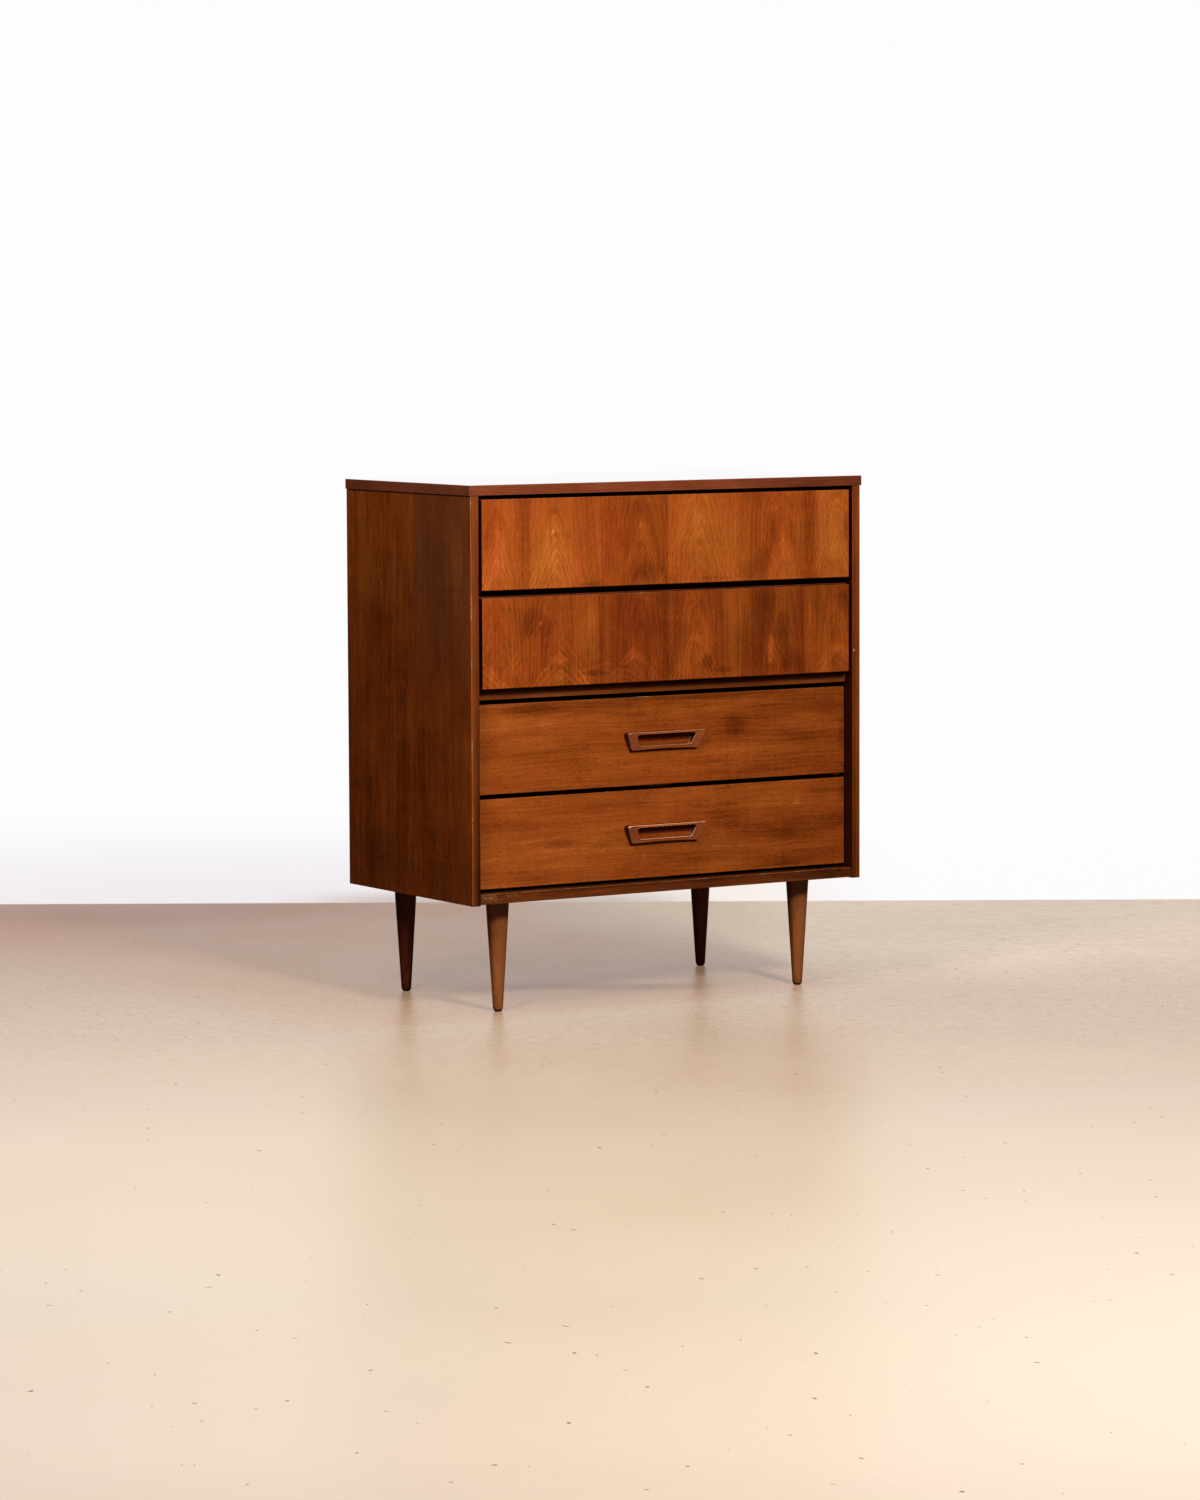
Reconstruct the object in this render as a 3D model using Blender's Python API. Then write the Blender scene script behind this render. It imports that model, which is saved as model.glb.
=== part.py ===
"""A walnut tallboy of the mid-century kind: a veneered case on four turned legs with four drawers.

The case's front faces -Y and the part stands on Z = 0, centred on the origin. The two upper drawers
carry applied overlay panels, pulled by a cove behind their lower edges. The two lower drawers are
set back in the case and carry carved wooden pulls. Every drawer box has dovetailed front corners, a
bottom let into grooves and a channel that rides on a centre runner.
"""

import math

import bmesh
import bpy
from mathutils import Matrix, Vector

MM = 0.001

# Overall sizes of the case
CASE_WIDTH = 940 * MM
CASE_DEPTH = 502 * MM
TOTAL_HEIGHT = 1067 * MM
LEG_LENGTH = 227 * MM

# Panels of the case
TOP_THICKNESS = 20.6 * MM
TOP_OVERHANG_SIDE = 2.6 * MM
TOP_OVERHANG_FRONT = 2.6 * MM
SIDE_THICKNESS = 19.2 * MM
SIDE_DROP = 2 * MM
BASE_THICKNESS = 20.5 * MM
LIP_SETBACK = 2.5 * MM
LIP_WIDTH = 20 * MM
BACK_THICKNESS = 4.5 * MM
BACK_REBATE = 8 * MM
DADO_DEPTH = 6 * MM
CASE_EDGE = 0.9 * MM

# Rails and runners inside the case
RAIL_THICKNESS = 19 * MM
FRONT_RAIL_WIDTH = 64 * MM
REAR_RAIL_WIDTH = 46 * MM
DIVIDER_SETBACK = 27.5 * MM
RUNNER_WIDTH = 32 * MM
RUNNER_HEIGHT = 12 * MM
RUNNER_END_GAP = 3 * MM

# Gaps seen between the fronts, from the base upwards
LOWER_FRONT_LIFT = 6.8 * MM
LOWER_FRONT_GAP = 9.2 * MM
OVERLAY_LIFT = 4.9 * MM
FINGER_GAP = 15.6 * MM
TOP_GAP = 8.2 * MM

# Fronts
FRONT_THICKNESS = 19 * MM
FRONT_SIDE_GAP = 1.6 * MM
LOWER_FRONT_SETBACK = 28 * MM
OVERLAY_THICKNESS = 18 * MM
OVERLAY_SIDE_GAP = 8.1 * MM
OVERLAY_SETBACK = 0.4 * MM
COVE_RADIUS = 12 * MM
UPPER_FRONT_BELOW = 3 * MM
UPPER_FRONT_ABOVE = 2 * MM
FRONT_EDGE = 0.8 * MM

# Drawer boxes
BOX_SIDE_THICKNESS = 12 * MM
BOX_BACK_THICKNESS = 12 * MM
BOX_HEADROOM = 4 * MM
BOX_REAR_CLEARANCE = 20 * MM
BOX_BACK_INSET = 9 * MM
BOX_BACK_DROP = 7 * MM
BOX_BACK_DADO = 5 * MM
BOTTOM_THICKNESS = 4.8 * MM
BOTTOM_RAISE = 16 * MM
BOTTOM_GROOVE = 6 * MM
TAIL_COUNT = 5
TAIL_LENGTH = 12 * MM
TAIL_SHARE = 0.62
TAIL_SLOPE = 1 / 6
CHANNEL_WALL = 13 * MM
CHANNEL_PLAY = 0.8 * MM
CHANNEL_LIFT = 2 * MM

# Carved pulls
PULL_TOP_WIDTH = 194 * MM
PULL_BOTTOM_WIDTH = 162 * MM
PULL_HEIGHT = 38 * MM
PULL_TOP_PROJECTION = 18.8 * MM
PULL_BOTTOM_PROJECTION = 9 * MM
PULL_TOP_LIMB = 6 * MM
PULL_BOTTOM_LIMB = 9 * MM
PULL_SIDE_LIMB = 22.5 * MM
PULL_ARCH = 2 * MM
PULL_TOP_CORNER = 5 * MM
PULL_BOTTOM_CORNER = 8 * MM
PULL_INNER_CORNER = 4.5 * MM
PULL_EDGE = 1.8 * MM
SCREW_RADIUS = 2 * MM
SCREW_BITE = 10 * MM
SCREW_HEAD_RADIUS = 4.5 * MM
SCREW_HEAD_FLAT_RADIUS = 2.7 * MM
SCREW_HEAD_HEIGHT = 2.6 * MM

# Legs
LEG_TOP_RADIUS = 23.8 * MM
LEG_FOOT_RADIUS = 10.2 * MM
LEG_INSET_SIDE = 104.5 * MM
LEG_INSET_FRONT = 79 * MM
LEG_INSET_BACK = 51 * MM
LEG_SHOULDER = 1.2 * MM
LEG_STUB_RADIUS = 4 * MM
LEG_STUB_HEIGHT = 12 * MM
PLATE_SIZE = 62 * MM
PLATE_THICKNESS = 2.4 * MM
PLATE_CORNER = 6 * MM
GLIDE_RADIUS = 8.6 * MM
GLIDE_FLAT_RADIUS = 4.5 * MM
GLIDE_HEIGHT = 4.2 * MM
GLIDE_RIM = 1.2 * MM
GLIDE_PIN_RADIUS = 1.3 * MM
GLIDE_PIN_LENGTH = 9 * MM

# Clearances
SEAT_GAP = 0.3 * MM
BEHIND_FRONT_GAP = 1.5 * MM
CUT_PAST = 2 * MM
MERGE_WITHIN = 0.01 * MM

# Facets
LEG_SEGMENTS = 40
SMALL_SEGMENTS = 24
HOLE_SEGMENTS = 16
COVE_SEGMENTS = 6
CORNER_SEGMENTS = 5
ARCH_SEGMENTS = 8
EDGE_SEGMENTS = 2
SMOOTH_ANGLE = math.radians(35)

# Levels and planes worked out from the sizes
FRONT_Y = (TOP_OVERHANG_FRONT - CASE_DEPTH) / 2
BACK_Y = FRONT_Y + CASE_DEPTH
SIDE_INNER_X = CASE_WIDTH / 2 - SIDE_THICKNESS
CROSS_X = SIDE_INNER_X + DADO_DEPTH - SEAT_GAP
TOP_UNDER = TOTAL_HEIGHT - TOP_THICKNESS
BASE_UNDER = LEG_LENGTH + SIDE_DROP
BASE_TOP = BASE_UNDER + BASE_THICKNESS
BACK_FACE_Y = BACK_Y - BACK_THICKNESS - SEAT_GAP
ALL_GAPS = LOWER_FRONT_LIFT + 2 * LOWER_FRONT_GAP + OVERLAY_LIFT + FINGER_GAP + TOP_GAP
FRONT_HEIGHT = (TOP_UNDER - BASE_TOP - RAIL_THICKNESS - ALL_GAPS) / 4
LOWER_PITCH = FRONT_HEIGHT + LOWER_FRONT_GAP
DIVIDER_TOP = BASE_TOP + LOWER_FRONT_LIFT + 2 * LOWER_PITCH + RAIL_THICKNESS
UPPER_PITCH = FRONT_HEIGHT + FINGER_GAP
BOX_HEIGHT = LOWER_PITCH - RAIL_THICKNESS - SEAT_GAP - BOX_HEADROOM
BOX_BACK_Y = BACK_FACE_Y - BOX_REAR_CLEARANCE
BOX_OUTER_X = SIDE_INNER_X - FRONT_SIDE_GAP
BOX_INNER_X = BOX_OUTER_X - BOX_SIDE_THICKNESS
UPPER_FRONT_SETBACK = OVERLAY_SETBACK + OVERLAY_THICKNESS + SEAT_GAP

# Each drawer: its name, the level it runs on, whether it carries an overlay panel
DRAWERS = (
    ("top_drawer", DIVIDER_TOP + UPPER_PITCH, True),
    ("second_drawer", DIVIDER_TOP, True),
    ("third_drawer", BASE_TOP + LOWER_PITCH, False),
    ("bottom_drawer", BASE_TOP, False),
)


def clear_scene():
    for old in list(bpy.data.objects):
        bpy.data.objects.remove(old, do_unlink=True)


def make_material(name, colour, roughness, metallic=0.0):
    material = bpy.data.materials.new(name)
    material.use_nodes = True
    shader = material.node_tree.nodes["Principled BSDF"]
    shader.inputs["Base Color"].default_value = (*colour, 1.0)
    shader.inputs["Roughness"].default_value = roughness
    shader.inputs["Metallic"].default_value = metallic
    material.diffuse_color = (*colour, 1.0)
    return material


def add_prism(shape, outline, axis, start, end):
    """Adds a closed prism: outline is its section across axis, in the order of the other two axes."""
    def place(point, along):
        values = list(point)
        values.insert("XYZ".index(axis), along)
        return values

    loop = [shape.verts.new(place(point, start)) for point in outline]
    face = shape.faces.new(loop)
    grown = bmesh.ops.extrude_face_region(shape, geom=[face])
    moved = [item for item in grown["geom"] if isinstance(item, bmesh.types.BMVert)]
    shift = Vector(place((0, 0), end - start))
    bmesh.ops.translate(shape, verts=moved, vec=shift)


def add_box(shape, low, high):
    outline = [(low[0], low[1]), (high[0], low[1]), (high[0], high[1]), (low[0], high[1])]
    add_prism(shape, outline, "Z", low[2], high[2])


def add_rod(shape, centre, radius, axis, start, end):
    """Adds a round rod along axis; centre is given in the order of the other two axes."""
    outline = []
    for step in range(HOLE_SEGMENTS):
        angle = math.tau * step / HOLE_SEGMENTS
        outline.append((centre[0] + radius * math.cos(angle), centre[1] + radius * math.sin(angle)))
    add_prism(shape, outline, axis, start, end)


def make_object(name, shape, material=None, parent=None, origin=None):
    """Makes a named object of a shape drawn in world places, with its origin at origin or at its centre."""
    bmesh.ops.recalc_face_normals(shape, faces=shape.faces)
    if origin is None:
        corners = [vertex.co for vertex in shape.verts]
        low = Vector([min(corner[k] for corner in corners) for k in range(3)])
        high = Vector([max(corner[k] for corner in corners) for k in range(3)])
        origin = (low + high) / 2
    origin = Vector(origin)
    bmesh.ops.translate(shape, verts=shape.verts, vec=-origin)
    mesh = bpy.data.meshes.new(name)
    shape.to_mesh(mesh)
    shape.free()
    if material:
        mesh.materials.append(material)
    made = bpy.data.objects.new(name, mesh)
    bpy.context.scene.collection.objects.link(made)
    made.location = origin
    if parent:
        made.parent = parent
        made.location = origin - parent.location
    return made


def make_board(name, low, high, material, parent=None, edge=0.0):
    """Makes a rectangular board between two corners, with its long edges eased by edge."""
    shape = bmesh.new()
    add_box(shape, low, high)
    board = make_object(name, shape, material, parent)
    if edge:
        ease_edges(board, edge)
    return board


def ease_edges(piece, width, segments=EDGE_SEGMENTS):
    bevel = piece.modifiers.new("eased_edges", "BEVEL")
    bevel.width = width
    bevel.segments = segments
    bevel.limit_method = "ANGLE"
    bevel.angle_limit = SMOOTH_ANGLE


def cut_away(piece, name, shape, parent=None):
    """Cuts a shape out of a piece, keeping the shape as a hidden helper."""
    cutter = make_object(name, shape, parent=parent)
    cutter.hide_render = True
    cutter.display_type = "WIRE"
    cut = piece.modifiers.new(name, "BOOLEAN")
    cut.operation = "DIFFERENCE"
    cut.solver = "EXACT"
    cut.object = cutter


def make_turned(name, profile, centre, segments, material):
    """Turns a profile of (radius, height) points, from its top on the axis to its foot on the axis."""
    shape = bmesh.new()
    points = [shape.verts.new((radius, 0, height)) for radius, height in profile]
    edges = [shape.edges.new(pair) for pair in zip(points, points[1:])]
    bmesh.ops.spin(
        shape, geom=points + edges, cent=(0, 0, 0), axis=(0, 0, 1),
        angle=math.tau, steps=segments, use_merge=True, use_duplicate=False,
    )
    bmesh.ops.remove_doubles(shape, verts=shape.verts, dist=MERGE_WITHIN)
    bmesh.ops.translate(shape, verts=shape.verts, vec=(centre[0], centre[1], 0))
    turned = make_object(name, shape, material, origin=(centre[0], centre[1], 0))
    turned.data.shade_smooth()
    turned.data.set_sharp_from_angle(angle=SMOOTH_ANGLE)
    return turned


def rounded_outline(corners, radii):
    """Rounds each corner of a convex outline by its own radius, with the arc cut into equal steps."""
    outline = []
    count = len(corners)
    for index, corner in enumerate(corners):
        corner = Vector(corner)
        before = (Vector(corners[index - 1]) - corner).normalized()
        after = (Vector(corners[(index + 1) % count]) - corner).normalized()
        half = before.angle(after) / 2
        centre = corner + (before + after).normalized() * radii[index] / math.sin(half)
        first = corner + before * radii[index] / math.tan(half) - centre
        last = corner + after * radii[index] / math.tan(half) - centre
        start = math.atan2(first.y, first.x)
        sweep = (math.atan2(last.y, last.x) - start + math.pi) % math.tau - math.pi
        for step in range(CORNER_SEGMENTS + 1):
            angle = start + sweep * step / CORNER_SEGMENTS
            arm = Vector((math.cos(angle), math.sin(angle))) * radii[index]
            outline.append(tuple(centre + arm))
    return outline


def rail_front_y(setback, thickness):
    """The front of a rail that stays hidden behind a drawer front."""
    return FRONT_Y + setback + thickness + BEHIND_FRONT_GAP


def cross_members():
    """Every level member let into the sides: its name, its two Y limits, its underside and its top.

    The base's lip and panel share one housing in each side. The rear members stop short of the back.
    """
    lower_rail_top = BASE_TOP + LOWER_PITCH
    upper_rail_top = DIVIDER_TOP + UPPER_PITCH
    lower_y = rail_front_y(LOWER_FRONT_SETBACK, FRONT_THICKNESS)
    upper_y = rail_front_y(UPPER_FRONT_SETBACK, FRONT_THICKNESS)
    divider_y = FRONT_Y + DIVIDER_SETBACK
    rear_y = BACK_FACE_Y - REAR_RAIL_WIDTH
    end_y = BACK_FACE_Y - CUT_PAST - SEAT_GAP
    members = []
    for name, front_y, top in (
        ("lower", lower_y, lower_rail_top),
        ("middle", divider_y, DIVIDER_TOP),
        ("upper", upper_y, upper_rail_top),
    ):
        front_name = "middle_divider_rail" if name == "middle" else name + "_front_rail"
        members.append((front_name, front_y, front_y + FRONT_RAIL_WIDTH, top - RAIL_THICKNESS, top))
        members.append((name + "_rear_rail", rear_y, end_y, top - RAIL_THICKNESS, top))
    lip_y = FRONT_Y + LIP_SETBACK
    members.append(("base_front_lip", lip_y, lip_y + LIP_WIDTH, BASE_UNDER, BASE_TOP))
    members.append(("base_panel", lip_y + LIP_WIDTH + SEAT_GAP, end_y, BASE_UNDER, BASE_TOP))
    return members


def make_top(material):
    overhang_x = CASE_WIDTH / 2 + TOP_OVERHANG_SIDE
    make_board(
        "top_panel",
        (-overhang_x, FRONT_Y - TOP_OVERHANG_FRONT, TOP_UNDER),
        (overhang_x, BACK_Y, TOTAL_HEIGHT),
        material, edge=CASE_EDGE,
    )


def make_side(name, hand, material):
    """A side panel, rebated for the back and housed for every cross member."""
    outer_x = hand * CASE_WIDTH / 2
    inner_x = hand * SIDE_INNER_X
    low_x, high_x = sorted((outer_x, inner_x))
    top = TOP_UNDER - SEAT_GAP
    side = make_board(
        name, (low_x, FRONT_Y, LEG_LENGTH), (high_x, BACK_Y, top), material, edge=CASE_EDGE,
    )
    rebate = bmesh.new()
    reach_x = hand * (SIDE_INNER_X - CUT_PAST)
    low_x, high_x = sorted((reach_x, hand * (SIDE_INNER_X + BACK_REBATE)))
    add_box(
        rebate, (low_x, BACK_FACE_Y, LEG_LENGTH - CUT_PAST), (high_x, BACK_Y + CUT_PAST, top + CUT_PAST),
    )
    cut_away(side, name + "_rebate", rebate)
    housings = bmesh.new()
    low_x, high_x = sorted((reach_x, hand * (SIDE_INNER_X + DADO_DEPTH)))
    gap = SEAT_GAP
    for member, start_y, end_y, under, above in cross_members():
        if member == "base_front_lip":
            continue
        if member == "base_panel":
            start_y = FRONT_Y + LIP_SETBACK
        add_box(housings, (low_x, start_y - gap, under - gap), (high_x, end_y + gap, above + gap))
    cut_away(side, name + "_housings", housings)


def make_case(veneer, solid, secondary, board):
    make_top(veneer)
    make_side("left_side_panel", -1, veneer)
    make_side("right_side_panel", 1, veneer)
    for name, start_y, end_y, under, above in cross_members():
        shown = {"base_front_lip": solid, "middle_divider_rail": solid, "base_panel": veneer}
        edge = CASE_EDGE if name in shown else 0.0
        piece = make_board(
            name, (-CROSS_X, start_y, under), (CROSS_X, end_y, above), shown.get(name, secondary),
            edge=edge,
        )
        if name == "base_panel":
            cut_stub_holes(piece)
    back_x = SIDE_INNER_X + BACK_REBATE - SEAT_GAP
    make_board(
        "back_panel",
        (-back_x, BACK_Y - BACK_THICKNESS, BASE_UNDER), (back_x, BACK_Y, TOP_UNDER - SEAT_GAP), board,
    )


def leg_places():
    """The four legs' names and places on the floor."""
    side_x = CASE_WIDTH / 2 - LEG_INSET_SIDE
    front = FRONT_Y + LEG_INSET_FRONT
    rear = BACK_Y - LEG_INSET_BACK
    return (
        ("front_left", (-side_x, front)),
        ("front_right", (side_x, front)),
        ("rear_left", (-side_x, rear)),
        ("rear_right", (side_x, rear)),
    )


def cut_stub_holes(base):
    """Holes in the base for the legs' threaded stubs."""
    holes = bmesh.new()
    for _, centre in leg_places():
        radius = LEG_STUB_RADIUS + SEAT_GAP
        top = BASE_UNDER + LEG_STUB_HEIGHT
        add_rod(holes, centre, radius, "Z", BASE_UNDER - CUT_PAST, top)
    cut_away(base, "base_panel_stub_holes", holes)


def make_leg(name, centre, solid, steel, glide_metal):
    """A tapered leg with its mounting plate above it and a glide under it."""
    plate_top = BASE_UNDER - SEAT_GAP
    plate_under = plate_top - PLATE_THICKNESS
    leg_top = plate_under - SEAT_GAP
    half = PLATE_SIZE / 2
    corners = [(-half, -half), (half, -half), (half, half), (-half, half)]
    outline = rounded_outline(corners, [PLATE_CORNER] * 4)
    plate = bmesh.new()
    placed = [(centre[0] + x, centre[1] + y) for x, y in outline]
    add_prism(plate, placed, "Z", plate_under, plate_top)
    plate = make_object("leg_plate_" + name, plate, steel)
    hole = bmesh.new()
    add_rod(
        hole, centre, LEG_STUB_RADIUS + SEAT_GAP, "Z", plate_under - CUT_PAST, plate_top + CUT_PAST,
    )
    cut_away(plate, "leg_plate_hole_" + name, hole)
    foot = GLIDE_HEIGHT + SEAT_GAP
    pin_hole = GLIDE_PIN_RADIUS + SEAT_GAP
    leg_profile = [
        (0, plate_under + LEG_STUB_HEIGHT),
        (LEG_STUB_RADIUS, plate_under + LEG_STUB_HEIGHT),
        (LEG_STUB_RADIUS, leg_top),
        (LEG_TOP_RADIUS - LEG_SHOULDER, leg_top),
        (LEG_TOP_RADIUS, leg_top - LEG_SHOULDER),
        (LEG_FOOT_RADIUS, foot + LEG_SHOULDER),
        (LEG_FOOT_RADIUS - LEG_SHOULDER, foot),
        (pin_hole, foot),
        (pin_hole, foot + GLIDE_PIN_LENGTH),
        (0, foot + GLIDE_PIN_LENGTH),
    ]
    make_turned("leg_" + name, leg_profile, centre, LEG_SEGMENTS, solid)
    glide_profile = [
        (0, GLIDE_HEIGHT + GLIDE_PIN_LENGTH - SEAT_GAP),
        (GLIDE_PIN_RADIUS, GLIDE_HEIGHT + GLIDE_PIN_LENGTH - SEAT_GAP),
        (GLIDE_PIN_RADIUS, GLIDE_HEIGHT),
        (GLIDE_RADIUS, GLIDE_HEIGHT),
        (GLIDE_RADIUS, GLIDE_HEIGHT - GLIDE_RIM),
    ]
    rise = GLIDE_HEIGHT - GLIDE_RIM
    for step in range(1, CORNER_SEGMENTS + 1):
        angle = math.pi / 2 * step / CORNER_SEGMENTS
        radius = GLIDE_FLAT_RADIUS + (GLIDE_RADIUS - GLIDE_FLAT_RADIUS) * math.cos(angle)
        glide_profile.append((radius, rise * (1 - math.sin(angle))))
    glide_profile.append((0, 0))
    make_turned("glide_" + name, glide_profile, centre, SMALL_SEGMENTS, glide_metal)


def tail_outline(root_y, middle_z, half_tip, grow):
    """One dovetail in the (Y, Z) plane, wider at its tip; grow makes the socket that receives it."""
    tip_y = root_y - TAIL_LENGTH - grow
    base_y = root_y + (CUT_PAST if grow else SEAT_GAP)
    half_at_tip = half_tip + grow
    half_at_base = half_at_tip - (base_y - tip_y) * TAIL_SLOPE
    return [
        (base_y, middle_z + half_at_base),
        (tip_y, middle_z + half_at_tip),
        (tip_y, middle_z - half_at_tip),
        (base_y, middle_z - half_at_base),
    ]


def tail_places(low_z, high_z):
    """Middle heights and half width of the tails spread between two heights, from the top down."""
    pitch = (high_z - low_z) / TAIL_COUNT
    middles = [high_z - pitch * (index + 0.5) for index in range(TAIL_COUNT)]
    return middles, pitch * TAIL_SHARE / 2


def make_box_side(drawer, hand, root_y, run_z, tails, material, slide):
    """A drawer side with dovetails on its front end, grooved for the bottom and housed for the back."""
    name = drawer + ("_left_side" if hand < 0 else "_right_side")
    middles, half_tip = tails
    top = run_z + BOX_HEIGHT
    outline = [(BOX_BACK_Y, run_z), (BOX_BACK_Y, top), (root_y + SEAT_GAP, top)]
    for middle in middles:
        outline.extend(tail_outline(root_y, middle, half_tip, 0.0))
    outline.append((root_y + SEAT_GAP, run_z))
    shape = bmesh.new()
    add_prism(shape, outline, "X", hand * BOX_INNER_X, hand * BOX_OUTER_X)
    side = make_object(name, shape, material, slide)
    reach_x = hand * (BOX_INNER_X - CUT_PAST)
    groove_low = run_z + BOTTOM_RAISE - SEAT_GAP
    groove_high = groove_low + BOTTOM_THICKNESS + 2 * SEAT_GAP
    groove = bmesh.new()
    low_x, high_x = sorted((reach_x, hand * (BOX_INNER_X + BOTTOM_GROOVE)))
    add_box(
        groove, (low_x, root_y + SEAT_GAP, groove_low), (high_x, BOX_BACK_Y + CUT_PAST, groove_high),
    )
    cut_away(side, name + "_groove", groove, slide)
    housing = bmesh.new()
    low_x, high_x = sorted((reach_x, hand * (BOX_INNER_X + BOX_BACK_DADO)))
    end_y = BOX_BACK_Y - BOX_BACK_INSET
    start_y = end_y - BOX_BACK_THICKNESS
    middle_z = (groove_low + groove_high) / 2
    add_box(
        housing, (low_x, start_y - SEAT_GAP, middle_z), (high_x, end_y + SEAT_GAP, top + CUT_PAST),
    )
    cut_away(side, name + "_housing", housing, slide)


def cut_front_joints(front, drawer, root_y, run_z, tails, slide):
    """Half-blind sockets in the ends of a front and a stopped groove for the drawer's bottom."""
    middles, half_tip = tails
    for hand, word in ((-1, "left"), (1, "right")):
        sockets = bmesh.new()
        start_x = hand * (BOX_INNER_X - SEAT_GAP)
        end_x = hand * (BOX_OUTER_X + CUT_PAST)
        for middle in middles:
            outline = tail_outline(root_y, middle, half_tip, SEAT_GAP)
            add_prism(sockets, outline, "X", start_x, end_x)
        cut_away(front, f"{drawer}_{word}_sockets", sockets, slide)
    groove = bmesh.new()
    low_z = run_z + BOTTOM_RAISE - SEAT_GAP
    high_z = low_z + BOTTOM_THICKNESS + 2 * SEAT_GAP
    reach_x = BOX_INNER_X - SEAT_GAP * 2
    add_box(
        groove, (-reach_x, root_y - BOTTOM_GROOVE, low_z), (reach_x, root_y + CUT_PAST, high_z),
    )
    cut_away(front, drawer + "_front_groove", groove, slide)


def make_box_bottom(drawer, root_y, run_z, material, slide):
    """A thin bottom with a tongue into the front and both long edges in the sides' grooves."""
    edge_x = BOX_INNER_X + BOTTOM_GROOVE - SEAT_GAP
    tongue_x = BOX_INNER_X - SEAT_GAP * 3
    tongue_y = root_y - BOTTOM_GROOVE + SEAT_GAP
    shoulder_y = root_y + 2 * SEAT_GAP
    end_y = BOX_BACK_Y - BOX_BACK_INSET
    outline = [
        (-tongue_x, tongue_y), (tongue_x, tongue_y), (tongue_x, shoulder_y), (edge_x, shoulder_y),
        (edge_x, end_y), (-edge_x, end_y), (-edge_x, shoulder_y), (-tongue_x, shoulder_y),
    ]
    shape = bmesh.new()
    low_z = run_z + BOTTOM_RAISE
    add_prism(shape, outline, "Z", low_z, low_z + BOTTOM_THICKNESS)
    make_object(drawer + "_bottom", shape, material, slide)


def make_box_back(drawer, run_z, material, slide):
    half_x = BOX_INNER_X + BOX_BACK_DADO - SEAT_GAP
    end_y = BOX_BACK_Y - BOX_BACK_INSET
    low_z = run_z + BOTTOM_RAISE + BOTTOM_THICKNESS + SEAT_GAP
    make_board(
        drawer + "_back",
        (-half_x, end_y - BOX_BACK_THICKNESS, low_z), (half_x, end_y, run_z + BOX_HEIGHT - BOX_BACK_DROP),
        material, slide,
    )


def make_channel(drawer, root_y, run_z, material, slide):
    """The inverted channel under a drawer's bottom, which straddles the centre runner."""
    inner_x = RUNNER_WIDTH / 2 + CHANNEL_PLAY
    outer_x = inner_x + CHANNEL_WALL
    low_z = run_z + CHANNEL_LIFT
    web_z = run_z + RUNNER_HEIGHT + CHANNEL_PLAY
    high_z = run_z + BOTTOM_RAISE - SEAT_GAP
    outline = [
        (-outer_x, low_z), (-inner_x, low_z), (-inner_x, web_z), (inner_x, web_z),
        (inner_x, low_z), (outer_x, low_z), (outer_x, high_z), (-outer_x, high_z),
    ]
    shape = bmesh.new()
    add_prism(shape, outline, "Y", root_y + SEAT_GAP, BOX_BACK_Y - BOX_BACK_INSET)
    make_object(drawer + "_channel", shape, material, slide)


def make_overlay(drawer, low_z, material, slide):
    """An applied front panel with a cove behind its lower edge, where the fingers pull."""
    front = FRONT_Y + OVERLAY_SETBACK
    back = front + OVERLAY_THICKNESS
    outline = [(back, low_z + FRONT_HEIGHT), (front, low_z + FRONT_HEIGHT), (front, low_z)]
    for step in range(COVE_SEGMENTS + 1):
        angle = math.pi / 2 * step / COVE_SEGMENTS
        outline.append((back - COVE_RADIUS * math.cos(angle), low_z + COVE_RADIUS * math.sin(angle)))
    half_x = SIDE_INNER_X - OVERLAY_SIDE_GAP
    shape = bmesh.new()
    add_prism(shape, outline, "X", -half_x, half_x)
    overlay = make_object(drawer + "_overlay_panel", shape, material, slide)
    ease_edges(overlay, FRONT_EDGE)


def pull_outlines(middle_z):
    """The outlines of a pull and of its opening, from the lower left corner round by the lower right."""
    low_z = middle_z - PULL_HEIGHT / 2
    high_z = low_z + PULL_HEIGHT
    outer = [
        (-PULL_BOTTOM_WIDTH / 2, low_z), (PULL_BOTTOM_WIDTH / 2, low_z),
        (PULL_TOP_WIDTH / 2, high_z), (-PULL_TOP_WIDTH / 2, high_z),
    ]
    lean = (PULL_TOP_WIDTH - PULL_BOTTOM_WIDTH) / 2 / PULL_HEIGHT
    inner_low = low_z + PULL_BOTTOM_LIMB
    inner_high = high_z - PULL_TOP_LIMB
    low_x = PULL_BOTTOM_WIDTH / 2 + lean * PULL_BOTTOM_LIMB - PULL_SIDE_LIMB
    high_x = PULL_TOP_WIDTH / 2 - lean * PULL_TOP_LIMB - PULL_SIDE_LIMB
    inner = [(-low_x, inner_low), (low_x, inner_low), (high_x, inner_high), (-high_x, inner_high)]
    outer_radii = [PULL_BOTTOM_CORNER, PULL_BOTTOM_CORNER, PULL_TOP_CORNER, PULL_TOP_CORNER]
    outline = rounded_outline(outer, outer_radii)
    corner_points = CORNER_SEGMENTS + 1
    arch_end = outline[corner_points - 1][0]
    arch = []
    for step in range(1, ARCH_SEGMENTS):
        across = 2 * step / ARCH_SEGMENTS - 1
        arch.append((-across * arch_end, low_z + PULL_ARCH * (1 - across * across)))
    outline[corner_points:corner_points] = arch
    return outline, rounded_outline(inner, [PULL_INNER_CORNER] * 4)


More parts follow.
